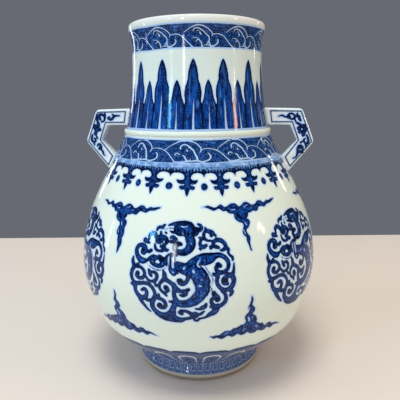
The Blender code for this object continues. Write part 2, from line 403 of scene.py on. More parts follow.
middle = Matrix.Rotation(CAMERA_SIDE, 3, "Z") @ Vector((0, FLOOR_BACK - FLOOR_HALF, -FLOOR_DROP))
bpy.ops.mesh.primitive_plane_add(size=2 * FLOOR_HALF, location=middle, rotation=(0, 0, CAMERA_SIDE))
floor = bpy.context.object
floor.name = "floor"
floor_sheet = new_sheet("pale floor")
floor_sheet.feed(floor_sheet.shader, {"Base_Color": FLOOR_COLOUR, "Roughness": 0.9})
floor.data.materials.append(floor_sheet.material)

world = bpy.data.worlds.new("studio")
bpy.context.scene.world = world
room = Sheet(world)
faint = room.tree.nodes["Background"]
room.feed(faint, {"Color": ROOM_COLOUR, "Strength": ROOM_STRENGTH})
backdrop = room.node("ShaderNodeBackground", Color=BACKDROP)
rays = room.node("ShaderNodeLightPath").outputs
seen = room.maths("MAXIMUM", rays["Is Camera Ray"], rays["Is Glossy Ray"])
choice = room.node("ShaderNodeMixShader", i0=seen, i1=faint.outputs[0], i2=backdrop.outputs[0])
room.feed(room.tree.nodes["World Output"], {"Surface": choice.outputs[0]})
bpy.context.scene.view_settings.view_transform = "Standard"
print("the room has", len(room.tree.nodes), "nodes")

# %% [markdown]
# ## Lamps
# Porcelain shows lamps as sharp bright shapes. So one broad panel overhead gives the soft general
# light, two fills that the glaze doesn't mirror soften the sides, and small, narrow panels draw the
# slim streaks and spots on the neck and the belly.
# %% Hang the lamps
# name, degrees round from the front to the right, distance, height, width, tall, watts, tint, mirrored
LAMPS = [
    ("overhead_lamp", -8, 0.8, 2.6, 0.9, 0.9, 31, (0.99, 0.99, 0.97), True),
    ("left_fill_lamp", -62, 1.5, 1.9, 0.8, 0.8, 6, (0.88, 0.96, 1), False),
    ("right_fill_lamp", 80, 1.4, 1.9, 0.8, 0.8, 3.6, (1, 0.8, 0.36), False),
    ("right_far_lamp", 124, 2.0, 0.85, 0.1, 0.3, 1.6, (1, 0.9, 0.74), True),
    ("front_window_lamp", -14.8, 2.2, 0.64, 0.09, 0.5, 6, (0.95, 0.98, 1), True),
    ("blue_window_lamp", -38.5, 2.2, 0.995, 0.18, 0.19, 6.4, (0.15, 0.54, 1), True),
    ("high_window_lamp", -35.5, 2.2, 0.84, 0.06, 0.14, 0.8, (0.5, 0.85, 1), True),
    ("red_window_lamp", 69.5, 2.0, 0.93, 0.17, 0.12, 3.1, (1, 0.6, 0.48), True),
    ("right_window_lamp", 72, 2.0, 0.81, 0.09, 0.09, 0.9, (1, 0.88, 0.78), True),
    ("left_strip_lamp", -86, 1.9, 0.42, 0.06, 0.5, 1.4, (0.9, 0.97, 1), True),
    ("left_edge_lamp", -133, 2.2, 0.56, 0.2, 0.56, 2.2, (0.86, 0.93, 1), True),
]


def lamp_panel(name, azimuth, distance, height, width, tall, power, tint, mirrored):
    """A soft lamp that faces the middle of the vase."""
    angle = math.radians(azimuth)
    spot = Vector((distance * math.sin(angle), -distance * math.cos(angle), height))
    bpy.ops.object.light_add(type="AREA", location=spot)
    lamp = bpy.context.object
    lamp.name = name
    lamp.data.shape = "RECTANGLE"
    lamp.data.size = width
    lamp.data.size_y = tall
    lamp.data.energy = power
    lamp.data.color = tint
    lamp.visible_glossy = mirrored
    lamp.rotation_euler = (Vector((0, 0, HEIGHT / 2)) - spot).to_track_quat("-Z", "Y").to_euler()


for row in LAMPS:
    lamp_panel(*row)
print("the stage has", len(LAMPS), "lamps")

# %% [markdown]
# ## The wheel
# A turned piece could be its outline with a Screw modifier. Here it starts as one vertex on its
# outline, which is extruded vertex by vertex to the whole outline and then spun round the axis, as
# clay is on the wheel. A sector is spun first and then repeated, which is quick.
# %% Turn an outline on the wheel
SECTORS = 15


def deselect_all():
    """Leave nothing selected, because an operator acts on all that is."""
    bpy.ops.object.select_all(action="DESELECT")


def start_piece(name):
    """An empty mesh object at the origin, in edit mode."""
    deselect_all()
    bpy.ops.mesh.primitive_plane_add(size=MM)
    piece = bpy.context.object
    piece.name = name
    piece.data.name = name
    bpy.ops.object.mode_set(mode="EDIT")
    bpy.ops.mesh.delete(type="VERT")
    return piece


def spin_outline(points, columns):
    """In edit mode: draw an outline from one vertex, spin a sector of it and repeat that round."""
    bpy.ops.mesh.select_all(action="DESELECT")
    bpy.ops.mesh.primitive_plane_add(size=MM, location=(points[0][0], 0, points[0][1]))
    bpy.ops.mesh.merge(type="CENTER")
    for step in np.diff(points, axis=0):
        bpy.ops.mesh.extrude_vertices_move(TRANSFORM_OT_translate={"value": (step[0], 0, step[1])})
    bpy.ops.mesh.select_linked()
    sector = math.tau / SECTORS
    bpy.ops.mesh.spin(steps=columns // SECTORS, angle=sector, center=(0, 0, 0), axis=(0, 0, 1))
    bpy.ops.mesh.select_linked()
    rest = math.tau - sector
    bpy.ops.mesh.spin(steps=SECTORS - 1, dupli=True, angle=rest, center=(0, 0, 0), axis=(0, 0, 1))


print("a sector is", 360 / SECTORS, "degrees")

# %% [markdown]
# ## Rims and seams
# Where the open rims of two spun skins lie at the same level, they are bridged with a ring of
# faces. At the end the doubled vertices of the seams and of the poles are merged, so that the
# piece is closed all round, and its faces are turned outwards.
# %% Join the rims and close the seams
MERGE_DISTANCE = 0.01 * MM
ONLY_RIMS = {
    "use_wire": False,
    "use_multi_face": False,
    "use_non_contiguous": False,
    "use_verts": False,
}


def bridge_rims(level, tolerance=0.02 * MM):
    """In edit mode: join the two open rims that lie at a level."""
    piece = bpy.context.object
    bpy.ops.mesh.select_all(action="SELECT")
    bpy.ops.mesh.remove_doubles(threshold=MERGE_DISTANCE)
    bpy.ops.mesh.select_mode(type="VERT")
    bpy.ops.mesh.select_all(action="DESELECT")
    bpy.ops.mesh.select_non_manifold(**ONLY_RIMS)
    bpy.ops.object.mode_set(mode="OBJECT")
    vertices = piece.data.vertices
    for vertex in vertices:
        vertex.select = vertex.select and abs(vertex.co.z - level) < tolerance
    for edge in piece.data.edges:
        edge.select = edge.select and all(vertices[index].select for index in edge.vertices)
    bpy.ops.object.mode_set(mode="EDIT")
    bpy.ops.mesh.bridge_edge_loops()


def finish_piece(piece, sharp=40):
    """Close seams and poles, point the faces outwards and shade the round faces smooth."""
    bpy.ops.object.mode_set(mode="EDIT")
    bpy.ops.mesh.select_all(action="SELECT")
    bpy.ops.mesh.remove_doubles(threshold=MERGE_DISTANCE)
    bpy.ops.mesh.normals_make_consistent(inside=False)
    bpy.ops.object.mode_set(mode="OBJECT")
    bpy.ops.object.shade_smooth_by_angle(angle=math.radians(sharp))
    piece.data.calc_loop_triangles()
    print(piece.name, "has", len(piece.data.loop_triangles), "triangles")


print("vertices closer than", MERGE_DISTANCE / MM, "mm are merged")

# %% [markdown]
# ## Rows for the mesh
# The painting is stored on the vertices, so a painted skin needs a fine mesh. To keep it small, the
# rows lie close where the painting is and wide where the glaze is plain, and the inside is coarse.
# %% Divide the outlines into rows
FINE_COLUMNS = 810
NECK_COLUMNS = 600
FOOT_COLUMNS = 720
STRING_COLUMNS = 360
INNER_COLUMNS = 120
INNER_SPACING = 7 * MM


def divided(line, along, rows):
    """A line divided evenly into rows."""
    places = np.linspace(0, along[-1], rows)
    return np.stack([np.interp(places, along, line[:, axis]) for axis in (0, 1)], axis=1)


def skin_rows(zones):
    """Rows of the outer skin, from the foot up. A zone is its two heights and a spacing in mm."""
    heights = []
    for low, high, spacing in zones:
        start, end = length_at(low), length_at(high)
        rows = max(2, round((end - start) / (spacing * MM)))
        places = np.linspace(start, end, rows, endpoint=False)
        heights.append(np.interp(places, outer_length, outer_skin[:, 1]))
    heights = np.concatenate(heights + [[zones[-1][1]]])
    return np.stack([radius_at(heights), heights], axis=1)


def inner_side(node, top, foot):
    """The smooth inner side of a section, from its top to its foot."""
    outline = outlines[node]
    side = stretch(outline, corner(outline, top, outer=False), foot, outer=False)
    line, along = smoothed(side)
    return divided(line, along, max(6, round(along[-1] / INNER_SPACING)))


def rows_along(points, spacing):
    """An outline smoothed and divided evenly, with a spacing in mm."""
    line, along = smoothed(points)
    return divided(line, along, max(3, round(along[-1] / (spacing * MM))))


column = math.tau * BELLY_RADIUS / FINE_COLUMNS
print("a painted column is", round(column / MM, 2), "mm wide at the belly")

# %% [markdown]
# ## Lower body
# The lower bowl is one closed shell: the painted skin outside, the plain inside with its floor, and
# the plug of clay under the floor, inside the foot ring. The three are turned one after another
# and joined at their rims.
# %% Turn the lower body
FLOOR_TOP = 30 * MM

lower_skin = skin_rows([(FOOT_JOINT, 0.082, 1.6), (0.082, 0.100, 3.0), (0.100, BELLY_JOINT, 1.25)])
lower_skin[0][1] = FOOT_JOINT
lower_inside = inner_side("lower_body", LEVELS["lower_body"][1], (0, FLOOR_TOP))
lower_inside[0][1] = BELLY_JOINT
lower_inside[-1][0] = 0
plug_radius = outlines["lower_body"][-2][0]
plug_edge, plug_foot = outlines["lower_body"][-1]
under = np.array([
    (lower_skin[0][0] - MM, FOOT_JOINT),
    (plug_radius, FOOT_JOINT),
    (plug_edge, plug_foot + MM),
    (plug_edge - MM, plug_foot),
    (plug_edge / 2, plug_foot),
    (0, plug_foot),
])
lower_body = start_piece("lower_body_painted")
spin_outline(lower_inside, INNER_COLUMNS)
spin_outline(under, INNER_COLUMNS)
spin_outline(lower_skin, FINE_COLUMNS)
bridge_rims(BELLY_JOINT)
bridge_rims(FOOT_JOINT)
finish_piece(lower_body)


# %% [markdown]
# ## Upper body and collar
# These two sections are tubes: a painted skin and a plain inside, joined at the rims below and
# above. One function turns both, from the zones of rows that each needs.
# %% Turn the upper body and the collar
def turn_section(name, node, zones):
    """A section that is open below and above, between the joints that its zones start and end at."""
    low_joint, high_joint = zones[0][0], zones[-1][1]
    inside_foot = corner(outlines[node], LEVELS[node][0], outer=False)
    inside = inner_side(node, LEVELS[node][1], inside_foot)
    inside[0][1] = high_joint
    inside[-1][1] = low_joint
    piece = start_piece(name)
    spin_outline(inside, INNER_COLUMNS)
    spin_outline(skin_rows(zones), FINE_COLUMNS)
    bridge_rims(low_joint)
    bridge_rims(high_joint)
    finish_piece(piece)
    return piece


UPPER_ZONES = [
    (BELLY_JOINT, 0.252, 1.25),
    (0.252, 0.270, 1.3),
    (0.270, 0.279, 3.0),
    (0.279, SHOULDER_JOINT, 1.6),
]
upper_body = turn_section("upper_body_painted", "upper_body", UPPER_ZONES)
collar = turn_section("collar_painted", "collar", [(SHOULDER_JOINT, NECK_JOINT, 0.8)])

# %% [markdown]
# ## Neck
# The skin of the neck runs up the outside, over the rounded lip and down the inside in one go, so
# the lip has no seam. It is closed at the joint with the collar.
# %% Turn the neck
LIP_START = 486.5 * MM
LIP_GAP = 4  # in points of the smooth outline, which lie 0.25 mm apart
LIP_STEP = 3
INSIDE_ROWS = 26
NECK_ZONES = [
    (NECK_JOINT, 0.440, 1.2),
    (0.440, 0.450, 3.0),
    (0.450, 0.482, 0.85),
    (0.482, LIP_START, 1.2),
]

neck_outside = skin_rows(NECK_ZONES)
over_start = int(np.abs(outer_skin[:, 1] - LIP_START).argmin())
inner_start = int(np.argmin(np.abs(skin[lip_index:, 1] - LIP_START))) + lip_index
over_lip = skin[over_start + LIP_GAP:inner_start:LIP_STEP]
inner_places = np.linspace(skin_length[inner_start], skin_length[-1], INSIDE_ROWS)
inside_wall = np.stack([np.interp(inner_places, skin_length, skin[:, axis]) for axis in (0, 1)], axis=1)
inside_wall[-1][1] = NECK_JOINT
neck_piece = start_piece("neck_painted")
spin_outline(np.vstack([neck_outside, over_lip, inside_wall]), NECK_COLUMNS)
bridge_rims(NECK_JOINT)
finish_piece(neck_piece)

# %% [markdown]
# ## Foot ring
# The splayed ring is one band: down the outside, across the standing edge and up the inside.
# %% Turn the foot ring
foot = outlines["foot_ring"]
foot_top = corner(foot, LEVELS["foot_ring"][1])
foot_inner_top = corner(foot, LEVELS["foot_ring"][1], outer=False)
standing = foot[foot[:, 1] < SLACK]
outer_edge = standing[standing[:, 0].argmax()]
inner_edge = standing[standing[:, 0].argmin()]
foot_outside = rows_along(stretch(foot, foot_top, outer_edge), 0.7)
foot_inside = rows_along(stretch(foot, inner_edge, foot_inner_top, outer=False)[:4], 0.8)
foot_inside = np.vstack([foot_inside, foot_inner_top])
foot_outside[0][1] = FOOT_JOINT
foot_inside[-1][1] = FOOT_JOINT
foot_piece = start_piece("foot_ring_painted")
spin_outline(np.vstack([foot_outside, foot_inside]), FOOT_COLUMNS)
bridge_rims(FOOT_JOINT)
finish_piece(foot_piece)

# %% [markdown]
# ## Raised strings
# A string is a roll of clay laid round a joint and smoothed down with a wet finger. Its rounded
# face is made finer and pressed a little flatter than the plain CAD section.
# %% Turn the raised strings
STRING_TRIM = {"neck_string": 0.45, "shoulder_string": 0.7}


def raised_string(name, node):
    """A raised string: the rounded face of its outline made finer, with its flat back."""
    outline = outlines[node]
    chord = outline[np.argmax(np.hypot(*(np.roll(outline, -1, axis=0) - outline).T))]
    start = int(np.hypot(*(outline - chord).T).argmin())
    line = rows_along(np.roll(outline, -start - 1, axis=0), 0.4)
    proud = np.maximum(line[:, 0] - radius_at(line[:, 1]), 0)
    line[:, 0] -= proud * STRING_TRIM[node]
    piece = start_piece(name)
    spin_outline(np.vstack([line, line[:1]]), STRING_COLUMNS)
    finish_piece(piece, sharp=60)
    return piece


neck_string = raised_string("neck_string_glazed", "neck_string")
shoulder_string = raised_string("shoulder_string_glazed", "shoulder_string")

# %% [markdown]
# ## Strap handles
# A handle is a strap of clay with softened edges, bent at two elbows and luted on at the neck and
# the shoulder. It could be a curve with a bevel, but that keeps one section all the way, and the
# width of this strap changes. So its outer and its inner side are drawn as two rows of points.
# %% Draw the sides of the strap
HALF_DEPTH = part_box("handle_right")[1].y
ROOT_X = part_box("handle_right")[0].x - 2 * MM
OUTER_LINE = [(ROOT_X / MM, 379.5), (147, 378), (164.8, 332.5), (130.2, 289.8)]
INNER_LINE = [(ROOT_X / MM, 356), (131, 355.6), (140.7, 334), (119.2, 310.4)]
OUTER_TRIM = 5.0
INNER_TRIM = 2.0


def rounded_corner(before, here, after, trim, count=7):
    """Points round a corner that is trimmed by a length on both sides."""
    before, here, after = (np.array(point, dtype=float) for point in (before, here, after))
    start = here + (before - here) / np.hypot(*(before - here)) * trim
    end = here + (after - here) / np.hypot(*(after - here)) * trim
    parts = np.linspace(0, 1, count)[:, None]
    return start * (1 - parts) ** 2 + 2 * here * parts * (1 - parts) + end * parts ** 2


def strap_side(corners, trim):
    """One side of the strap as points: straight, corner, straight, corner, straight."""
    first_bend = rounded_corner(*corners[:3], trim)
    second_bend = rounded_corner(*corners[1:], trim)
    upper = np.linspace(corners[0], first_bend[0], 44)
    middle = np.linspace(first_bend[-1], second_bend[0], 34)
    lower = np.linspace(second_bend[-1], corners[-1], 44)
    return np.vstack([upper[:-1], first_bend, middle[1:-1], second_bend, lower[1:]]) * MM


outer_line = strap_side(OUTER_LINE, OUTER_TRIM)
inner_line = strap_side(INNER_LINE, INNER_TRIM)
middles = (outer_line + inner_line) / 2
across_strap = outer_line - inner_line
spans = np.hypot(*across_strap.T)
leans = np.arctan2(across_strap[:, 0], across_strap[:, 1])
print("the strap is", (spans.min() / MM).round(1), "to", (spans.max() / MM).round(1), "mm wide")

# %% [markdown]
# ## The section of the strap
# The section is a plane at the upper root with its corners bevelled round. The two sides that give
# the painted front and back are divided finely and the other two coarsely, and then the loop is
# filled again with one face.
# %% Shape the section
EDGE_ROUNDING = 2.6 * MM
DIVISIONS = ((16 * MM, 19), (10 * MM, 3))  # edges longer than this get so many cuts


def divide_long_edges(piece, longer_than, cuts):
    """In edit mode: cut the edges that are longer than a length."""
    bpy.ops.mesh.select_all(action="DESELECT")
    bpy.ops.object.mode_set(mode="OBJECT")
    vertices = piece.data.vertices
    for edge in piece.data.edges:
        ends = [vertices[index] for index in edge.vertices]
        edge.select = longer_than < (ends[0].co - ends[1].co).length
        for end in ends:
            end.select = end.select or edge.select
    bpy.ops.object.mode_set(mode="EDIT")
    bpy.ops.mesh.select_mode(type="EDGE")
    bpy.ops.mesh.subdivide(number_cuts=cuts)


handle_right = start_piece("handle_right_painted")
bpy.ops.mesh.primitive_plane_add(size=1, rotation=(0, math.pi / 2, 0), location=(0, 0, 0))
first_height = outer_line[0][1] - inner_line[0][1]
bpy.ops.transform.resize(value=(1, 2 * HALF_DEPTH, first_height), center_override=(0, 0, 0))
bpy.ops.mesh.bevel(offset=EDGE_ROUNDING, segments=4, affect="VERTICES")
bpy.ops.mesh.delete(type="ONLY_FACE")
for longer_than, cuts in DIVISIONS:
    divide_long_edges(handle_right, longer_than, cuts)
bpy.ops.mesh.select_mode(type="VERT")
bpy.ops.mesh.select_all(action="SELECT")
bpy.ops.transform.translate(value=(middles[0][0], 0, middles[0][1]))
bpy.ops.mesh.edge_face_add()
print("the section is", round(2 * HALF_DEPTH / MM, 1), "by", round(first_height / MM, 1), "mm")


# %% [markdown]
# ## The bent strap
# That face is extruded along the strap about a millimetre at a time. At each step it is set
# upright, stretched to the strap's width there and leant again, so that the elbows get a mitre.
# %% Bend the right handle
def turn_about_y(angle, center):
    """Turn what is selected about a line through a point, parallel to the Y axis."""
    bpy.ops.transform.rotate(value=angle, orient_axis="Y", center_override=center)


for index in range(1, len(middles)):
    step = middles[index] - middles[index - 1]
    center = (middles[index][0], 0, middles[index][1])
    bpy.ops.mesh.extrude_region_move(TRANSFORM_OT_translate={"value": (step[0], 0, step[1])})
    turn_about_y(leans[index - 1], center)
    bpy.ops.transform.resize(value=(1, 1, spans[index] / spans[index - 1]), center_override=center)
    turn_about_y(-leans[index], center)
finish_piece(handle_right, sharp=50)

# %% [markdown]
# ## The left handle
# The other handle is the same strap turned half round the vase, with a mesh of its own.
# %% Copy it for the left handle
deselect_all()
handle_right.select_set(True)
bpy.ops.object.duplicate()
handle_left = bpy.context.object
handle_left.name = "handle_left_painted"
handle_left.data.name = "handle_left_painted"
bpy.ops.object.mode_set(mode="EDIT")
bpy.ops.mesh.select_all(action="SELECT")
bpy.ops.transform.rotate(value=math.pi, orient_axis="Z", center_override=(0, 0, 0))
bpy.ops.object.mode_set(mode="OBJECT")
for piece in (handle_right, handle_left):
    spread = np.array([vertex.co[:] for vertex in piece.data.vertices]) / MM
    print(piece.name, "from", spread.min(axis=0).round(1), "to", spread.max(axis=0).round(1))

# %% [markdown]
# ## A brush for the painting
# Each painted line is a stroke: a few points along its middle, each with the half width of the
# brush there, and a smooth curve through them. The painting could be colours on the vertices, but
# their edges would be soft. What the mesh stores at each vertex is instead the distance in
# millimetres to the edge of the nearest stroke, below zero inside the colour. The shader turns
# that into crisp lines, dark edges and pale halos.
# %% Measure along a curve
REACH = 7.0


def curve_through(points, steps, closed=False):
    """A smooth curve through given points."""
    points = np.array(points, dtype=float)
    if closed:
        points = np.vstack([points[-1:], points, points[:2]])
    else:
        points = np.vstack([2 * points[0] - points[1], points, 2 * points[-1] - points[-2]])
    parts = np.linspace(0, 1, steps, endpoint=False)[:, None]
    line = []
    for before, start, end, after in zip(points, points[1:], points[2:], points[3:]):
        squared = 2 * before - 5 * start + 4 * end - after
        cubed = 3 * start - 3 * end + after - before
        bend = (2 * start, end - before, squared, cubed)
        line.append(0.5 * sum(term * parts ** power for power, term in enumerate(bend)))
    line.append(points[-2][None])
    return np.vstack(line)


def near(start, end, x, y, reach):
    """The places within reach of a straight piece of a curve."""
    low, high = np.minimum(start, end) - reach, np.maximum(start, end) + reach
    return (x > low[0]) & (x < high[0]) & (y > low[1]) & (y < high[1])


def along(start, end, x, y):
    """How far along a straight piece each place lies, from 0 to 1, and its distance from it."""
    step = end - start
    part = ((x - start[0]) * step[0] + (y - start[1]) * step[1]) / (step[0] ** 2 + step[1] ** 2 + 1e-9)
    part = np.clip(part, 0, 1)
    return part, np.hypot(x - start[0] - part * step[0], y - start[1] - part * step[1])


part, away = along(np.zeros(2), np.array([4.0, 0.0]), np.array([2.0]), np.array([3.0]))
print("a place beside a 4 mm line lies at", part[0], "of its length and", away[0], "mm off")


# %% [markdown]
# ## Strokes, shapes and ovals
# Three kinds of mark are enough for all the motifs: brush strokes, closed shapes and ovals. Each
# gives the distance from every vertex to the nearest edge.
# %% Make the marks
def strokes(lines, x, y, wider=0.0, steps=6):
    """The distance of each place to the nearest of some strokes."""
    distance = np.full(x.shape, REACH)
    for line in lines:
        line = curve_through(line, steps)
        for start, end in zip(line, line[1:]):
            reach = REACH + max(start[2], end[2]) + wider
            mask = near(start[:2], end[:2], x, y, reach)
            if mask.any():
                part, away = along(start[:2], end[:2], x[mask], y[mask])
                away -= start[2] + (end[2] - start[2]) * part + wider
                distance[mask] = np.minimum(distance[mask], away)
    return distance


def patch(points, x, y, steps=4):
    """The distance of each place to the edge of a closed shape, below zero inside it."""
    line = curve_through(points, steps, closed=True)
    distance = np.full(x.shape, REACH)
    inside = np.zeros(x.shape, dtype=bool)
    for start, end in zip(line, np.roll(line, -1, axis=0)):
        mask = near(start, end, x, y, REACH)
        if mask.any():
            away = along(start, end, x[mask], y[mask])[1]
            distance[mask] = np.minimum(distance[mask], away)
        if start[1] != end[1]:
            crossing = start[0] + (y - start[1]) * (end[0] - start[0]) / (end[1] - start[1])
            inside ^= ((start[1] > y) != (end[1] > y)) & (x < crossing)
    return np.where(inside, -distance, distance)


def oval(x, y, across, up, wide, tall):
    """The distance to the edge of an oval."""
    scaled = np.hypot((x - across) / wide, (y - up) / tall)
    return (scaled - 1) * min(wide, tall)


def mirrored(points):
    """A closed shape from its right half, listed from the top to the bottom."""
    return list(points) + [(-x, y) for x, y in reversed(points) if x]


print("the middle of an oval is", -oval(0, 0, 0, 0, 4, 3), "mm inside its edge")

# %% [markdown]
# ## The surface as a canvas
# A canvas knows where each vertex of a piece lies: the angle round the vase and the length up the
# wall. A motif is drawn once, flat and in millimetres, and repeated round the vase. The hand that
# painted it spaced the repeats unevenly, so a list of drifts moves them a little to the side and up.
# %% Stretch the canvas
LAYERS = ("ink", "line", "bare", "pale", "dull", "deep")
PAINTED_DEPTH = 0.5 * MM


class Canvas:
    """The places on a piece's surface, and the painting on them."""

    def __init__(self, piece):
        self.piece = piece
        count = len(piece.data.vertices)
        places = np.empty(count * 3)
        piece.data.vertices.foreach_get("co", places)
        self.x, self.y, self.z = places.reshape(-1, 3).T
        self.angle = np.arctan2(self.x, -self.y)
        self.radius = np.hypot(self.x, self.y)
        self.up = length_at(self.z) / MM
        self.outside = np.abs(self.radius - radius_at(self.z)) < PAINTED_DEPTH
        self.layers = {name: np.full(count, REACH) for name in LAYERS}
        self.layers["hatch"] = np.zeros(count)

    def repeat(self, repeats, start, radius, height, crowded=0.0, drift=()):
        """Millimetres across and up from the middle of the nearest repeat of a motif. Crowded
        gives, in degrees, how far the painter's spacing closes up towards the front. Drift
        lists places in degrees, with how far the hand strayed there, across and up."""
        pitch = math.tau / repeats
        places, aside, above = zip((-180, 0, 0), *drift, (180, 0, 0))
        degrees = np.degrees(self.angle)
        strayed = np.interp(degrees, places, aside) / radius
        angle = self.angle + math.radians(crowded) * np.sin(self.angle) - strayed
        across = (angle - math.radians(start) + pitch / 2) % pitch - pitch / 2
        up = self.up - length_at(height * MM) / MM - np.interp(degrees, places, above)
        return across * radius, up

    def add(self, layer, distance):
        """Add marks to a layer, where the piece takes paint."""
        self.layers[layer] = np.minimum(self.layers[layer], np.where(self.outside, distance, REACH))

    def store(self):
        """Write the painting to the mesh."""
        for name, values in self.layers.items():
            attribute = self.piece.data.attributes.new(name, "FLOAT", "POINT")
            attribute.data.foreach_set("value", values.astype(np.float32))
        print(self.piece.name, "is", round(100 * float((self.layers["ink"] < 0).mean())), "% covered")


print("a canvas has the layers", ", ".join(LAYERS), "and hatch")

# %% [markdown]
# ## The phoenix
# Six roundels go round the belly. Each holds a phoenix that curls its neck and raises a wing. The
# strokes are listed as they would be painted: head, neck, body, wing and collar. Each is a row of
# (across, up, half width), in millimetres from the roundel's middle.
# %% Draw the phoenix
HEAD = [
    [(-17, 58.3, .9), (-13, 59.6, 1.5), (-8, 60.6, 2.2),
     (-2, 61.6, 2.4), (5, 61.6, 2.6), (11, 60, 3), (15, 55.5, 3)],
    [(-9, 60, 1.6), (-7.6, 56, 2.2), (-6.8, 51.5, 2.8), (-3, 49, 2.6), (2, 49.5, 3.2), (8, 50, 4.4)],
    [(0, 56.5, 6), (7, 54.5, 6.5), (14, 51.5, 5.4), (18, 50.5, 3.8)],
    [(-14.6, 51.6, .6), (-11.5, 50.4, 1.4), (-8, 50.4, 1.7)],
    [(20.2, 60.4, .9), (23.4, 59.2, 1.8), (25, 56.2, 2.2), (23.2, 53.4, 2.4), (19, 54.2, 3)],
    [(13, 49, 3), (17, 48.6, 2.6), (20, 50.8, 2.2)],
]
NECK = [
    [(9, 48, 5), (11, 42, 5.6), (11.8, 36.5, 5.3), (9.5, 31, 4.7), (4.2, 27.6, 4), (-1.8, 27.5, 3.2),
     (-6.3, 29.8, 2.7), (-7.8, 33.3, 2.3), (-6.1, 36.6, 2), (-2.6, 37.9, 1.8), (.2, 36.6, 2)],
]
BODY = [
    [(-4, 12, 5), (3, 9, 6.4), (11, 7.5, 8), (19, 3.8, 9.2), (24, -4, 9.6), (25, -13, 8.6),
     (22.6, -21.5, 7.4), (16.4, -29.3, 6.2), (8.4, -33.4, 5), (0, -34.2, 4.6), (-5.4, -31.6, 3.6)],
    [(29, -1.5, 3), (31, -6, 3.2), (30.4, -9.5, 3)], [(29, -13.5, 3), (30, -17.5, 3.2), (28.6, -21.5, 3)],
    [(8, 4, 3), (9, -.5, 2.4), (7.6, -5.6, 2.3), (4.4, -8.8, 2.4),
     (.6, -9.2, 2.3), (-1.8, -6.9, 2.1), (-1.2, -4.8, 1.7)],
    [(-7, -10, 1.9), (-6, -13.5, 2.6), (-3.8, -16.6, 3.2),
     (.6, -18.3, 2.3), (5.2, -18.2, 2.6), (9.6, -15.9, 1.9)],
    [(7, -19, 1.9), (5.8, -22.2, 2.2), (2.8, -23.7, 1.9), (-.2, -23, 1.2)],
]
WING = [
    [(8, 10, 5), (15, 15.5, 5.4), (21.5, 18.8, 6), (28, 19.6, 7), (34, 20.6, 6.2), (40, 23, 3.9),
     (46, 23.9, 2.8), (52, 21.2, 2.6), (56, 15.6, 2.4), (56, 9.2, 2.2), (52.4, 4.7, 2.3),
     (47, 3.4, 2.6), (42.7, 5.4, 2.3), (41.6, 9.3, 2.1), (43.6, 12.3, 1.9), (46.4, 11.3, 2.5)],
    [(38.2, 2.6, 1.6), (40, 1.2, 2.1), (43.5, 2, 2.2)],
]
COLLAR_PIECE = [
    [(-16.4, 22.5, 1.5), (-18, 17.8, 2.3), (-17.2, 13, 2.2)],
    [(-10, 21, 3.6), (-9.8, 14, 4.2), (-9.2, 7, 4.6), (-7.6, 3.4, 3.6)],
    [(-15, 24, 1.2), (-10, 25.2, 1.5), (-5, 24, 1.6)],
]
PHOENIX = HEAD + NECK + BODY + WING + COLLAR_PIECE
print("the phoenix has", len(PHOENIX), "strokes")

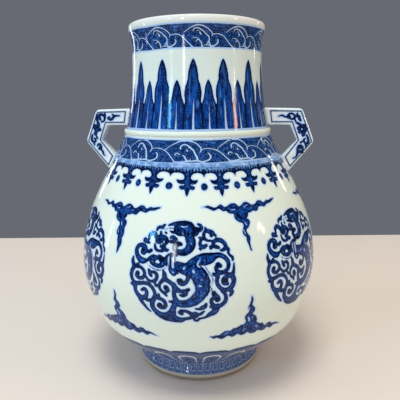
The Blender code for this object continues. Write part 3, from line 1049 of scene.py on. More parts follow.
# %% [markdown]
# ## The scrolls round the phoenix
# Curling scrolls fill the roundel and give it its round edge. They go from the top down the left
# side, along the bottom and up the right side again.
# %% Draw the scrolls
SCROLLS = [
    # left, from the top
    [(-39.5, 16.8, 1.1), (-43, 15, 2.1), (-47.6, 14.2, 3.4), (-52.6, 16.8, 3),
     (-56, 21.4, 2.6), (-56.8, 26.6, 2.3), (-54.6, 31, 2.2), (-50.2, 32.6, 2.2),
     (-46, 31, 2.5), (-44.6, 27, 2.6), (-46.4, 23.9, 2.4), (-48.8, 24, 2.1)],
    [(-42.2, 25.6, .8), (-39.6, 25.8, 1.9), (-37.2, 27.3, 2)],
    [(-46.2, 38.6, 3), (-42.6, 37.2, 1.9), (-40.2, 36, .8)],
    [(-41, 40.4, 1), (-41.2, 44.6, 1.8), (-37.4, 47.6, 2.4), (-33.4, 46.6, 2.2), (-32.6, 43.6, 1.7)],
    [(-32, 51.4, 1), (-31.2, 54.2, 1.5), (-28, 55.6, 1.6),
     (-25.2, 55.4, 1.9), (-23.4, 57.6, 1.4), (-21.4, 58.6, .8)],
    [(-26.4, 50, 1.2), (-26.2, 47.2, 1.5), (-28, 45.4, 1)], [(-20.6, 49.7, .8), (-19.2, 49.1, 1)],
    [(-31.4, 39.4, 1.5), (-28.6, 43, 2.2), (-23.6, 44.4, 2.4),
     (-19, 42.2, 2.6), (-17.8, 38.6, 2.3), (-20.6, 36.6, 1.7)],
    [(-30, 37.6, 1.4), (-26.4, 38.4, 2.2), (-24, 40.8, 1.8)],
    [(-13.4, 43.4, .9), (-11.8, 45.1, 1.4), (-9, 44.4, 1.9),
     (-8.4, 41.7, 2), (-10.6, 39.4, 1.8), (-14, 39.4, 1.2)],
    [(-8.6, 43.6, 1.6), (-5.8, 42.4, 1.4)],
    [(-33, 35.8, .9), (-32.2, 31.8, 1.4), (-30, 28.7, 1.5),
     (-26, 27.7, 1.3), (-22, 29, 1.9), (-20.3, 32, 2), (-21.8, 35, 1.4)],
    [(-24.8, 33.2, 1.6), (-21.8, 33, 1.6)], [(-19.8, 30.4, 1.9), (-17.6, 28.8, 1.5), (-15.6, 29.6, 1.1)],
    # open ring beside the collar piece
    [(-39.6, 18, .8), (-36.8, 19.6, 1.5), (-33.2, 21.2, 1.5), (-29, 20.4, 1.6),
     (-25.4, 19.8, 3.2), (-22.4, 17, 3), (-21.6, 12.6, 2.7), (-25.8, 10.4, 2.5),
     (-31, 11, 2), (-35, 12.6, 1.5), (-37, 14.8, 1)],
    # second from the top, with its spike
    [(-60.4, 17.6, .6), (-61, 12.6, 1.9), (-59.6, 8.4, 2.1), (-59.2, 4.4, 2.2),
     (-61.2, .2, 2.2), (-62, -4.6, 2), (-60.6, -9.8, 1.9), (-57.6, -13.4, 2)],
    [(-59, 6.2, 1.8), (-54, 6.4, 1.7), (-49.4, 6, 1.7), (-45.4, 3, 1.7), (-43.8, -1.4, 1.9),
     (-46, -5.6, 2), (-50.4, -7.2, 1.9), (-54.2, -5.2, 1.9), (-54.4, -2, 1.8), (-52.2, -.9, 1.5)],
    [(-55, 8.2, 1.6), (-52.8, 9.6, 1.6)],
    # third
    [(-38.6, 4.8, .9), (-37.2, 2.2, 1.9), (-36.4, -.8, 2), (-34.8, -2.4, 1.3)],
    [(-41.4, -4.8, 1.2), (-39, -7.9, 1.4), (-34.8, -9, 1.5), (-30.2, -7.4, 1.9),
     (-27.9, -3.2, 1.9), (-29.2, .8, 1.9), (-32.8, 2.4, 1.5), (-35.6, 1.6, 1.5)],
    # fourth, large
    [(-61.4, -15.6, 1.2), (-58.4, -16, 2.3), (-56, -15, 2.4)],
    [(-58, -13.6, 1.9), (-52, -13.7, 2.3), (-46, -12.5, 2), (-40, -12.5, 1.9),
     (-34.6, -15.7, 1.9), (-31.6, -20.2, 1.8), (-30.4, -24.8, 2), (-31.6, -29.4, 2.6),
     (-33.8, -34, 2.7), (-34.8, -39.4, 2.7), (-32.8, -44.8, 2.8), (-28, -49.2, 3),
     (-21.8, -51.3, 3.2), (-15.4, -49.8, 3.6), (-11, -45, 3.3), (-8.6, -39.6, 3), (-6, -34, 3.2)],
    [(-56, -16.6, 2.2), (-56.3, -22, 2.2), (-53.8, -27.2, 2.4), (-49.2, -31, 3), (-44.2, -30.6, 2.8),
     (-41.3, -26.6, 2.2), (-41.3, -22, 2.1), (-44, -19.6, 1.9), (-47.2, -21.3, 1.5)],
    [(-50.4, -32, 2.6), (-48, -36.8, 2.2), (-45, -41, 1.7), (-41.8, -45, 1.4), (-37.8, -48.6, .7)],
    [(-42.4, -33, 1.2), (-39.6, -33.6, 1.9), (-37.4, -32, .8)],
    # fifth
    [(-26, -24.2, 1.3), (-26.6, -27.4, 2.2), (-29, -29, 2)],
    [(-28, -28.4, 2.2), (-23.6, -29.7, 2), (-19.6, -32, 2), (-17.8, -36, 2),
     (-19.2, -40, 2.1), (-23, -41.4, 2), (-26.4, -39.6, 2), (-26.2, -37.6, 1.4)],
    [(-13, -32, .9), (-9.4, -32.4, 2), (-6, -33, 3)],
    # sixth, with its spike, over the tail
    [(-20.2, 4.4, 1), (-18.8, 1, 2.3), (-18.4, -3, 2.7), (-15.8, -6, 2.3), (-11.8, -8.2, 2.2),
     (-8.4, -11.4, 2.1), (-7, -16, 2.2), (-7.4, -21, 2.2), (-6.6, -26.4, 2.4), (-4.6, -31, 3)],
    [(-18.6, -4.4, 2.4), (-22.4, -8, 1.9), (-24.8, -12, 1.5), (-24.4, -16.2, 1.4),
     (-22, -19.6, 1.4), (-18.8, -21.8, 1.6), (-16.2, -25, .9)],
    [(-15.8, -15.4, 2.1), (-14.4, -18.2, 1.8), (-17, -20.7, 1.4), (-19.4, -21.4, 1.2)],
    [(-29.8, -11.8, 1.5), (-28.6, -13.8, 1.4)],
    # bottom
    [(13, -52.6, 1.9), (12.4, -48.8, 2.1), (9.6, -45.6, 2),
     (5, -43.7, 1.8), (.6, -44, 1.9), (-1.4, -46.2, 2), (.8, -47.6, 2.2)],
    [(-8.6, -41, 2.6), (-8.6, -46.5, 2.4), (-8.8, -51.5, 2.8),
     (-4.6, -55, 2.8), (1, -55.7, 2.3), (7, -54.4, 1.9), (13, -53, 1.7)],
    [(-31, -50.4, 1.6), (-25, -54.2, 2.2), (-19, -56.4, 2.9),
     (-12.6, -57.2, 3), (-6.6, -58.6, 2.2), (-.8, -58.2, 2.2), (3, -57, 1.4)],
    [(14, -47, 1.9), (17.6, -46.8, 2), (18.4, -49.6, 2.2), (15.4, -52.6, 2.1)],
    [(20.4, -48.6, 1.7), (24, -46.8, 1.7), (27.2, -43.8, .8)],
    [(17.4, -40.2, .7), (21.4, -40.8, 1.4), (25.6, -38.8, 2.5), (28.4, -36.6, 2.1), (29.6, -33.8, 1.1)],
    [(15.2, -55, .8), (16.4, -57.2, 1.2), (19.4, -57, 1.3), (22, -54.4, 1.2), (26, -53.4, 1.1),
     (30, -51.8, 1.4), (34, -48.4, 2.6), (39, -45.2, 3.6), (41.4, -40, 3.9), (42.8, -37.4, 3)],
    [(34.6, -37.6, 1), (35.6, -39, 1.1)],
    # lower right, like a drop
    [(38.4, -19.6, 1.1), (40, -22.8, 2.3), (42.6, -26.2, 2.5), (43.6, -29.2, 2.2)],
    [(40, -25.4, 1.6), (36.8, -27.6, 2), (35.4, -31.4, 1.9), (37.6, -35.6, 2.2), (42.2, -37.7, 2.5),
     (47.2, -36.4, 2.4), (51, -32.8, 2.2), (52.6, -27.8, 2), (51.4, -22.8, 1.8), (48, -18.6, 1.6)],
    [(56.6, -17.2, 2.6), (59.6, -20.2, 2), (58.6, -23.2, 1.8), (57.6, -25.2, 1)],
    # right
    [(43.4, -.6, 2), (42, -6, 1.9), (43.4, -11.4, 2), (47.4, -16, 2.1),
     (52.8, -17.6, 2.2), (58.4, -15.4, 2.6), (61.6, -9.8, 2.4), (61.6, -4, 2.6),
     (58, -.6, 2.8), (53.4, -1.8, 2.4), (50, -5.2, 2.5), (50.6, -9, 2.6), (54, -10, 2)],
    [(63, 13.4, .5), (62.8, 8, 1.1), (61.8, 3, 1.8), (60, -1, 2.6)], [(55.6, 2.2, .9), (58, .6, 1.8)],
    [(62, 17, 1.1), (61.6, 20.4, 1.3), (58.8, 22.8, 1.1),
     (57, 25.8, 1.2), (57.4, 29, 1.7), (56, 32.2, 1.3)],
    # upper right
    [(39, 34.6, 1.7), (39.4, 38.6, 2), (43.2, 41.3, 2.3), (48.8, 40.5, 2.3),
     (53, 37, 2.2), (54, 32.6, 2), (51.4, 29.7, 1.9), (47.8, 29, 1)],
    [(45.8, 32.6, 1.3), (43, 33.4, 2.1), (39.6, 34.6, 1.7)],
    [(35.8, 34.2, 1.4), (36.2, 32.2, 1.6), (38, 33.4, 1)],
    [(29.8, 56.2, .7), (31.4, 53, 1.7), (35, 51.4, 2.4), (38.2, 49.7, 2.8), (37.4, 47, 2)],
    [(40.4, 48.8, 1.4), (42.6, 46.4, 1.3)],
    [(31, 52.8, 1.6), (28.3, 49.8, 1.7), (28, 46, 1.6),
     (29.8, 42.6, 1.5), (33, 40.8, 1.1), (36.4, 40.9, .9)],
    [(22, 45, .7), (24.4, 43.6, 1.7), (28.4, 43.2, 1.5)],
    [(24.4, 42, 1.5), (23.1, 38, 1.7), (24.4, 34.6, 2.1), (27.8, 33.8, 2.2), (30.4, 35.6, 1.7)],
    [(22.4, 32, .8), (24, 31, 1)],
]
RIM_LOBES = [
    [(-25, -54.2, 2.6), (-22, -55, 2.4)], [(-18.6, -56.6, 2.8), (-15, -56.6, 2.6)],
    [(-8.6, -57.8, 2.8), (-5, -58.2, 2.6)], [(-1.8, -57.4, 2.4), (2, -56.6, 2)],
    [(-33.5, 17.8, 1.8), (-31.8, 14.6, 1)], [(-38, 18, 1.6), (-30, 19, 2.4)],
]
print("the roundel has", len(SCROLLS) + len(RIM_LOBES), "scrolls and lobes")

# %% [markdown]
# ## Thin, dark and light lines
# Thin lines join the scrolls. Darker lines inside the colour show the crown, the eye, the neck, the
# wing and the scales of the flank, and some paler lines and dots lie in it. Each curl has a
# dark drop in its middle, an oval: its place, and its half width and half height.
# %% Draw the fine lines
THIN_LINES = [
    [(29.2, 10.6, .4), (32, 6, .5), (33.6, 3, .5), (36.6, -1, .6), (37.6, -6, .6), (36, -10, .4)],
    [(34.6, -12.2, .4), (36, -16, .6), (35.4, -20.4, .4)],
    [(-38.6, 9.6, .4), (-33, 6.6, .5), (-26, 5.2, .7), (-19.4, 7, .5), (-15.4, 10, .3)],
    [(-22, 52, .5), (-19, 54, .5), (-14, 55.2, .6), (-10, 55, .6)],
]
SHADES = [
    [(-7, 61.4, .9), (-1, 62.8, 1.1), (6, 62.6, 1.3), (11.4, 60.8, 1.7),
     (14.6, 56.6, 2), (16, 51.6, 2.4), (14, 48.6, 1.6)],
    [(16, 55, 2.2), (20, 53.6, 2.2), (23.4, 54.6, 1.2)], [(-1, 59.6, .6), (3, 59, .8), (7, 60.2, .6)],
    [(-8.4, 55.6, .9), (-8.2, 51.8, 1.2), (-5, 48.8, 1), (-.5, 48.2, .7)],
    [(-4.6, 53.8, .9), (-3.6, 52.4, 1)],
    [(-.6, 55, .6), (2.6, 54.4, .7), (4.4, 51.6, .9), (4.6, 48.6, .7)],
    [(8.6, 51.4, .7), (8.4, 47.6, .9), (10, 44.6, .6)],
    [(15.4, 46, .9), (17, 40, 1.1), (16.2, 34, 1.3), (13, 28.8, 1)], [(7.2, 43.6, .6), (9, 40.4, .8)],
    [(12.8, 38.4, .5), (12.4, 34, .8), (10.6, 30.8, .5)],
    [(-8.8, 31.4, .8), (-5, 28, 1), (1, 25.8, 1.1), (7, 26.2, 1.2)], [(-3.4, 38.4, .9), (0, 37.4, 1.4)],
    [(23, 24.2, .9), (27.4, 25.6, 1.3), (31, 25, .8), (34.4, 25.6, 1.4), (39, 25.6, .8), (46, 25.4, .8)],
    [(26.6, 17.6, .6), (26.2, 14.8, .9)], [(30, 23, .8), (30.4, 22, .8)],
    [(30.4, 19.2, 1), (30.6, 17.6, .9)], [(33, 14.6, 1), (35.4, 15.4, .8)],
    [(41, 21.4, 1), (45.6, 21.8, .9)],
    [(25.4, 9.4, 1), (28.4, 5.4, 1.2), (30.2, 1.6, 1.1), (28.4, -2.4, .8)],
    [(32.4, -2.6, 1), (33.6, -6.4, 1.1), (31.6, -10.4, .9)],
    [(32, -13.2, .9), (32.8, -17.4, 1.2), (30.2, -21.8, 1.1)], [(17.2, 14.4, 1.2), (18, 10.4, .8)],
    [(12.4, 12.2, .9), (9, 10.4, .7)], [(2, 13, .8), (-2.6, 12, .9)], [(-3.6, 7, 1), (-3, 2.8, 1)],
    [(8, 5.6, .7), (7.6, 1, 1)], [(20.6, 9.6, .7), (21.4, 7.4, .7)], [(17.6, -7.4, .7), (18, -9.4, .7)],
    [(21.6, -17.4, .8), (22.2, -20.8, .9)], [(27, -9, .8), (26.4, -12, .8)],
    [(13, 2.6, .6), (12.4, .4, .8)], [(24.4, 2.4, .9), (25.4, -.4, .7)], [(19, -25, .8), (14, -29, 1)],
    [(6.8, -32, 1), (2, -33.6, .8)], [(-25.6, 20, 1.6), (-23, 18, 1.8)],
    [(-24, -54, 1.6), (-17, -57, 1.2)], [(-9, -56.6, 1.4), (-5, -58.4, 1.2)],
    [(-11.6, 21.6, .5), (-11.8, 15, .6), (-11.2, 8, .6)],
    [(-19, 42.6, 1), (-17.4, 39.4, 1), (-19, 37.4, 1)], [(9.8, -15.6, 1), (6.4, -17.6, .9)],
]
LIGHTS = [
    [(-.4, 57.6, .6), (3, 56.8, .8), (7.2, 57.6, .5)], [(1.7, 51, .5), (1.7, 47.8, .6)],
    [(23.2, 19.6, .7), (21.4, 17, .8), (20, 14.5, .9), (20.6, 12, .8), (22.8, 10.6, .6)],
    # Two round pale dots on the flank.
    [(4, 8.5, 1.1), (4.4, 9.3, 1.1)], [(15.1, 6, 1.5), (15.7, 4.8, 1.5)],
    [(21.8, -11.4, 1), (24.2, -11.9, .8)], [(24, -3.4, .5), (24.2, -4.8, .5)],
    [(12, -5.6, .3), (15.2, -10, .7), (16.4, -16, .8), (15.4, -22, .5)],
    [(-9.2, 21, 1.3), (-9, 16.8, 1.5)], [(-9.2, 14.4, 1.4), (-8.9, 9.8, 1.3)],
    [(-8.7, 4.3, .9), (-8.4, 3.5, .9)], [(-13.8, 22.6, .6), (-14.2, 17, .8), (-13.8, 12, .5)],
    [(-21.6, 39.6, .6), (-21.3, 37.6, .6)], [(28.6, 21, .2), (28.4, 17, .3)],
    [(10.8, 42.4, .2), (13.2, 36, .4)],
]
DROPS = [
    (51.5, -6, 4.2, 4.6), (-0.5, -6, 4, 3.4), (-5, 36.5, 4, 3.6), (-25, -38, 3.6, 3.4),
    (42.5, -28.5, 3.8, 3.8), (-47.5, 27, 3.4, 3.6), (-53, -1.5, 3, 3), (-17, -15, 3.2, 3.4),
    (0, -45, 3, 3), (44, 12.5, 3.6, 3.4), (-22, 17.6, 4.4, 4), (38.6, -22, 3, 4.4),
]
print("the fine lines are", len(THIN_LINES), "thin,", len(SHADES), "dark and", len(LIGHTS), "light")

# %% [markdown]
# ## The roundels round the belly
# The six roundels sit astride the joint of the two body sections, so the same function paints the
# lower and the upper body. A drift is a place in degrees, and millimetres across and up.
# %% Place the roundels
ROUNDELS = 6
ROUNDEL_START = -0.75
ROUNDEL_DRIFT = [
    (-110, 0, 0), (-85, 2.6, -2.8), (-37, 2.6, -2.8), (-24, 0.7, 0.7), (24, 0.7, 0.7), (36, -5.6, 0.9),
    (85, -5.6, 0.9), (110, 0, 0),
]


def paint_roundels(canvas):
    """Six roundels, the first almost at the front."""
    across, up = canvas.repeat(ROUNDELS, ROUNDEL_START, 168, 190.5, drift=ROUNDEL_DRIFT)
    canvas.add("ink", strokes(PHOENIX, across, up, wider=0.25))
    canvas.add("ink", strokes(SCROLLS + RIM_LOBES, across, up, wider=0.45))
    canvas.add("ink", strokes(THIN_LINES, across, up))
    for drop in DROPS:
        canvas.add("ink", oval(across, up, *drop))
        canvas.add("line", oval(across, up, *drop) + 1.2)
    canvas.add("line", strokes(SHADES, across, up, wider=0.2))
    canvas.add("bare", strokes(LIGHTS, across, up))


print("a roundel comes every", 360 / ROUNDELS, "degrees")

# %% [markdown]
# ## Cloud trefoils
# Between the roundels, above and below, are trefoils of cloud with long, waving tails. Strokes
# would leave gaps in such broad forms, so each cloud is one closed outline. The upper one comes
# first, with the tips of its tails, its dark folds and the light lines left open.
# %% Draw the upper cloud
UPPER_CLOUD = [
    (-60.5, 33.2), (-56, 34.6), (-51.5, 35.4), (-47, 33.6), (-43, 32.8), (-40, 34), (-37, 36),
    (-34, 35.8), (-31, 33), (-28, 33.5), (-25, 35), (-21, 36.8), (-17, 36.6), (-14, 35.3), (-11.5, 32.5),
    (-9, 33), (-6, 35), (-3, 36.8), (1, 36.8), (4, 35.5), (6.5, 33.5), (9, 32.6), (12, 33), (14.5, 34.5),
    (17, 36.5), (20, 37), (23.5, 36.3), (26.5, 33.8), (29, 34), (32, 35.8), (35, 35.8), (39, 34.2),
    (42, 34.6), (45, 36.2), (48.4, 37), (46, 35), (42, 33), (38, 31.6), (34, 31.3), (31, 30.3),
    (28.5, 28.5), (25.5, 28.2), (22, 29.3), (18, 29), (16.3, 27), (14.5, 25), (11, 24.2), (8, 25.2),
    (5.5, 24.5), (3, 23.3), (0.3, 23.5), (-0.5, 20.5), (-2, 18.5), (-4, 17.5), (-1, 15.8), (0.2, 13),
    (-0.5, 10), (-2.5, 6.5), (-5, 4.8), (-6.2, 3), (-6, 0), (-4.5, -2), (-3, -4.5), (-2.8, -7),
    (-3.6, -10), (-4, -13), (-3.4, -15.5), (-3.6, -18), (-2.6, -21), (-3.6, -21.8), (-5, -20), (-5, -17),
    (-5.2, -14.5), (-7, -12), (-8, -9), (-7.8, -6), (-9, -4.2), (-11, -2), (-11.6, 1.5), (-10.6, 5),
    (-9.4, 8), (-9.3, 10), (-10.5, 12), (-13, 13), (-16, 14.5), (-18.8, 17.5), (-19.6, 20.5),
    (-19.6, 23.5), (-22, 24), (-24.6, 24.3), (-27, 26), (-29, 28), (-32, 27.6), (-35, 28.8), (-38, 31),
    (-41, 30.2), (-44, 29), (-47, 29.4), (-50.4, 31.2), (-55, 32.8),
]
UPPER_TAILS = [
    [(-58, 33.4, 0.5), (-52, 34.2, 1.1), (-47, 32.4, 1.5)],
    [(33, 33.4, 1.9), (38.6, 34.2, 1.5), (43, 35.6, 1), (47, 36.4, 0.5)],
    [(-5.6, -6, 2.0), (-5.6, -11, 1.6), (-4.8, -16, 1.0), (-4, -20.4, 0.7)],
]
UPPER_SHADES = [
    [(-24, 33, .7), (-20, 31, .8), (-16, 32, .7), (-13.6, 29, .7)],
    [(-15, 23, 1.8), (-12, 19, 1.8), (-9, 17, 1)], [(-3, 33, .7), (0, 31, .9), (4, 31.5, .7)],
    [(8, 28, .9), (12, 31, .6)], [(-4, 23, 1.4), (-3, 19, 1.2)], [(17, 33, 1.4), (20, 31, 1.2)],
    [(-34, 31, 1), (-38, 33, .9)], [(-29, 30.6, .8), (-25, 27.6, 1)],
]
UPPER_LIGHTS = [
    [(-22.4, 28.6, .5), (-17, 29.2, .5)], [(-3.6, 31, .5), (1, 33.4, .6)], [(-7, 13, .5), (-5, 9, .6)],
    [(-10, 4, .5), (-8.4, -1, .5)], [(4, 28, .4), (7, 29.6, .4)],
]
print("the upper cloud has", len(UPPER_CLOUD), "points in its outline")

# %% [markdown]
# ## The lower cloud
# The lower cloud stands on its broad side, with its tail pointing up.
# %% Draw the lower cloud
LOWER_CLOUD = [
    (-5.8, 34.4), (-4.2, 32), (-3.2, 28.5), (-3.6, 25), (-4.4, 22), (-2.4, 19), (-0.6, 16), (-0.1, 13),
    (-1.2, 10), (-2.8, 8.2), (-1, 6.5), (1.5, 4.5), (3.6, 1), (4.8, -3), (4.9, -6.5), (7.5, -9),
    (10, -11), (13, -11.2), (15.5, -13), (17.5, -16), (19.5, -17), (21, -15.2), (24.5, -14), (27.5, -15),
    (30, -18), (33, -18.8), (36, -18.3), (39, -20.4), (42, -22.2), (45, -23.8), (42, -23.6), (39, -22.6),
    (37, -21.5), (34, -22.5), (31, -24.8), (28, -24.6), (25, -22.8), (22.5, -22.8), (19.5, -25),
    (15.5, -25), (12, -23.3), (9.5, -22), (7.5, -24.5), (3.5, -25.4), (-0.5, -24.6), (-3, -22.2),
    (-5, -21.8), (-7.5, -23.6), (-11, -24.8), (-14, -23.8), (-16.5, -21.3), (-18.5, -22), (-21, -24.3),
    (-24, -24.8), (-27, -23), (-29.5, -22.4), (-32, -24.6), (-36, -26.6), (-40, -24.8), (-42.5, -23.6),
    (-45, -25), (-47, -24), (-48.5, -22.6), (-50.5, -21.4), (-48.4, -20.6), (-46, -20.8), (-43.5, -19.4),
    (-40.5, -19.8), (-37.5, -18), (-35, -15.3), (-31.5, -13.2), (-28, -13.9), (-25.5, -13),
    (-23.5, -10.6), (-20.5, -10.2), (-17.5, -9), (-15, -6.8), (-11.8, -6.6), (-10, -5), (-9.6, -1),
    (-11, 2.5), (-11.2, 6), (-10, 9), (-8, 11), (-7.2, 14), (-8.6, 17), (-8.6, 20.5), (-7, 23.5),
    (-5.8, 26.5), (-6.3, 30),
]
LOWER_TAILS = [
    [(-48, -21.6, 0.9), (-46, -22.2, 1.3)], [(32, -19.4, 1.9), (37, -20.8, 1.4), (41, -22.4, 0.9)],
    [(-5.3, 33, 0.5), (-4.8, 29, 1.1), (-5.4, 24, 1.5)],
]
LOWER_SHADES = [
    [(-1.8, 17, 1.1), (-1.2, 13, 1.2)], [(1, 2, 1), (3, -4, 1.2)], [(-14, -9, 1.5), (-18, -12, 1.5)],
    [(-22, -19, 1.3), (-26, -21, 1.5)], [(-13, -20, 1.3), (-10, -22, 1.5)],
    [(10, -13, 1.5), (14, -18, 1.8)], [(26, -17, 1.8), (30, -21, 1.5)], [(-2, -12, 1.3), (0, -20, 1.8)],
    [(-36, -22, 1.5), (-42, -21.4, 1)],
]
LOWER_LIGHTS = [
    [(-7.4, 19, .5), (-7, 15, .5)], [(-7.5, 4, .8), (-6, 1, 1.1), (-5, -3, .8)],
    [(-11, -17, .6), (-9, -13, .5)], [(-29, -16, .5), (-33, -19, .6)], [(5, -13, .5), (8, -17, .5)],
]
print("the lower cloud has", len(LOWER_CLOUD), "points in its outline")

# %% [markdown]
# ## The clouds between the roundels
# The clouds are painted half a step from the roundels. On the left side of the vase the tail of
# the upper cloud is stouter, and it gets one more stroke there.
# %% Place the clouds
CLOUD_START = 30.5
UPPER_DRIFT = [
    (-70, 0, 0), (-56, 2.6, -3.8), (-7, 2.6, -3.8), (5, 0, 0.4), (60, 0, 0.4), (80, 0, 0),
]
LOWER_DRIFT = [
    (-70, 0, 0), (-56, 0.8, -0.6), (-7, 0.8, -0.6), (5, 0, 0.7), (60, 0, 0.7), (80, 0, 0),
]
STOUT_TAIL = [
    (-3.4, 12, 5.4), (-4.4, 6, 4.8), (-2.8, 0, 4.2), (-4.2, -6, 3.6), (-2.8, -12, 3), (-4.2, -18, 2.2),
    (-5.4, -25, 0.6),
]


def paint_clouds(canvas):
    """Six clouds above the roundels and six below."""
    across, up = canvas.repeat(ROUNDELS, CLOUD_START, 155, 236, drift=UPPER_DRIFT)
    canvas.add("ink", patch(UPPER_CLOUD, across, up))
    canvas.add("ink", strokes(UPPER_TAILS, across, up))
    canvas.add("ink", np.where(canvas.x < 0, strokes([STOUT_TAIL], across, up), REACH))
    canvas.add("line", strokes(UPPER_SHADES, across, up))
    canvas.add("bare", strokes(UPPER_LIGHTS, across, up))
    across, up = canvas.repeat(ROUNDELS, CLOUD_START, 150, 128, drift=LOWER_DRIFT)
    canvas.add("ink", patch(LOWER_CLOUD, across, up))
    canvas.add("ink", strokes(LOWER_TAILS, across, up))
    canvas.add("line", strokes(LOWER_SHADES, across, up))
    canvas.add("bare", strokes(LOWER_LIGHTS, across, up))


print("the first cloud stands", CLOUD_START, "degrees from the front")

# %% [markdown]
# ## The pendant border
# Under the string on the shoulder hang twenty pendants. The white lobes between them are left
# open in a blue fringe, with a round dot under each pair. A pendant is the same on both sides, so
# only the right half of its outline is listed.
# %% Draw the pendants
PENDANT = [
    (0, 9), (3.8, 8), (3.7, 5), (4.3, 2.5), (6, 1.2), (9, 0.8), (12.6, 1.3), (12.2, -1.5), (9.8, -3.8),
    (6.5, -4.6), (3.8, -4.6), (3.6, -5.6), (5.4, -6.2), (8.8, -6.8), (9, -9.6), (6.4, -11.6), (3.4, -11),
    (2.5, -14), (0, -19.8),
]
PENDANTS = 20
PENDANT_RADIUS = 130
DROP_PITCH = math.tau * PENDANT_RADIUS / PENDANTS
DOT_LINES = [[(0, 13, 2.2), (0, 9, 1.4), (0, 5.4, 0.6)]]
PENDANT_LINES = [[(0, -8, 0.5), (0, -14, 1.2), (0, -19, 0.6)], [(3.6, -1.6, 0.9), (9, -1.6, 0.8)]]
PENDANT_DRIFT = [
    (-100, 0, 0), (-54, -3.4, 2.6), (-36, -1.8, 2), (-18, -1.5, 1.4), (0, 2.2, 0), (18, 1.5, -0.7),
    (36, 0.9, 0.7), (54, 0, 2), (100, 0, 0),
]


def paint_pendants(canvas):
    """Twenty pendants, with the fringe that they hang from."""
    across, up = canvas.repeat(PENDANTS, 0.25, PENDANT_RADIUS, 296, drift=PENDANT_DRIFT)
    side = np.abs(across)
    from_drop = DROP_PITCH / 2 - side
    lobe = oval(side, up, 12.4, 4.4, 8.1, 5.6)
    fringe = np.where(up > 3, np.maximum(4.4 - up, -lobe), REACH)
    hanging = patch(mirrored(PENDANT), across, up)
    canvas.add("ink", fringe)
    canvas.add("ink", hanging)
    canvas.add("ink", oval(from_drop, up, 0, -7.4, 4.0, 4.6))
    covered = np.minimum(fringe, hanging) < 0
    canvas.add("line", np.where(covered & (up < 14), np.abs(lobe - 1.0) - 1.0, REACH))
    canvas.add("line", strokes(DOT_LINES, from_drop, up))
    canvas.add("line", strokes(PENDANT_LINES, side, up))
    dash = np.abs((across + DROP_PITCH / 2) % (DROP_PITCH / 10) - DROP_PITCH / 20)
    row = np.abs(up - 12.2 - np.sin(across * 2.4) * 0.8)
    canvas.add("line", np.where(up > 8, np.maximum(dash - 1.1, row - 2.6), REACH))
    canvas.add("pale", 12.4 - up + np.sin(across * 1.3) * 0.6)


print("a pendant comes every", round(DROP_PITCH, 1), "mm")

# %% [markdown]
# ## Lotus petals
# The underside of the belly is closed by a ring of petals, each with a white arch inside it. They
# turn away from the eye so steeply that each is kept simple: an arch and a leaf.
# %% Draw the petals
PETALS = 24
PETAL_RADIUS = 130
PETAL_TOP = 37
PETAL_ARCH = [
    (-11.5, -45, 1.2), (-11.3, -10, 1.3), (-11, 7, 1.4), (-8.6, 14, 1.8), (-4, 18, 2), (0, 18.8, 2),
    (4, 18, 2), (8.6, 14, 1.8), (11, 7, 1.4), (11.3, -10, 1.3), (11.5, -45, 1.2),
]
PETAL_LEAF = [(0, 9, 0.4), (0, 2, 1.6), (0, -8, 1.6), (0, -30, 1.2)]


def paint_petals(canvas):
    """Twenty-four petals that point up from the foot."""
    across, up = canvas.repeat(PETALS, -0.5, PETAL_RADIUS, 55)
    top = PETAL_TOP - 4.5 * (np.abs(across) / 17) ** 4
    canvas.add("ink", np.where(up < 43, up - top, REACH))
    canvas.add("bare", np.where(up < 36, strokes([PETAL_ARCH], across, up), REACH))
    canvas.add("line", np.where(up < 36, np.abs(up - top + 2.4) - 1.8, REACH))
    canvas.add("line", strokes([PETAL_LEAF], across, up))
    # Painted shade and floor reflection: low on the petals the blue goes greyer and paler.
    canvas.add("dull", up - 30)


print("a petal is", round(math.tau * PETAL_RADIUS / PETALS, 1), "mm wide at its widest")

# %% [markdown]
# ## The key fret on the foot
# The foot ring carries a key fret, a squared spiral that repeats. Its lines are straight, so each
# is measured without a curve through its corners.
# %% Draw the fret
KEYS = 54
FRET_RADIUS = 90
FRET_FOOT = 12.8
HALF_LINE = 0.32
KEY_PITCH = math.tau * FRET_RADIUS / KEYS
FRET = [
    [(-4.6, 0.4), (-4.6, 13), (3.6, 13), (3.6, 4), (-1.6, 4), (-1.6, 9.4), (1, 9.4)],
    [(-4.6, 0.4), (KEY_PITCH - 4.6, 0.4)],
]


def paint_fret(canvas):
    """White key lines on a blue ground that painted shade and floor reflection turn grey, above the bare
    standing edge.
    """
    across = canvas.repeat(KEYS, 0, FRET_RADIUS, 14)[0]
    up = canvas.z / MM - FRET_FOOT
    distance = np.full(up.shape, REACH)
    for line in FRET:
        for start, end in zip(line, line[1:]):
            for shift in (-KEY_PITCH, 0, KEY_PITCH):
                start_point = np.array(start) + (shift, 0)
                end_point = np.array(end) + (shift, 0)
                away = along(start_point, end_point, across, up)[1]
                distance = np.minimum(distance, away - HALF_LINE)
    canvas.add("ink", -0.8 - up)
    # Painted shade and floor reflection: the whole fret is greyer and paler.
    canvas.add("dull", np.maximum(-3 - up, -2.5))
    canvas.add("bare", np.where(up > -0.5, distance, REACH))


print("a key is", round(KEY_PITCH, 1), "mm wide")

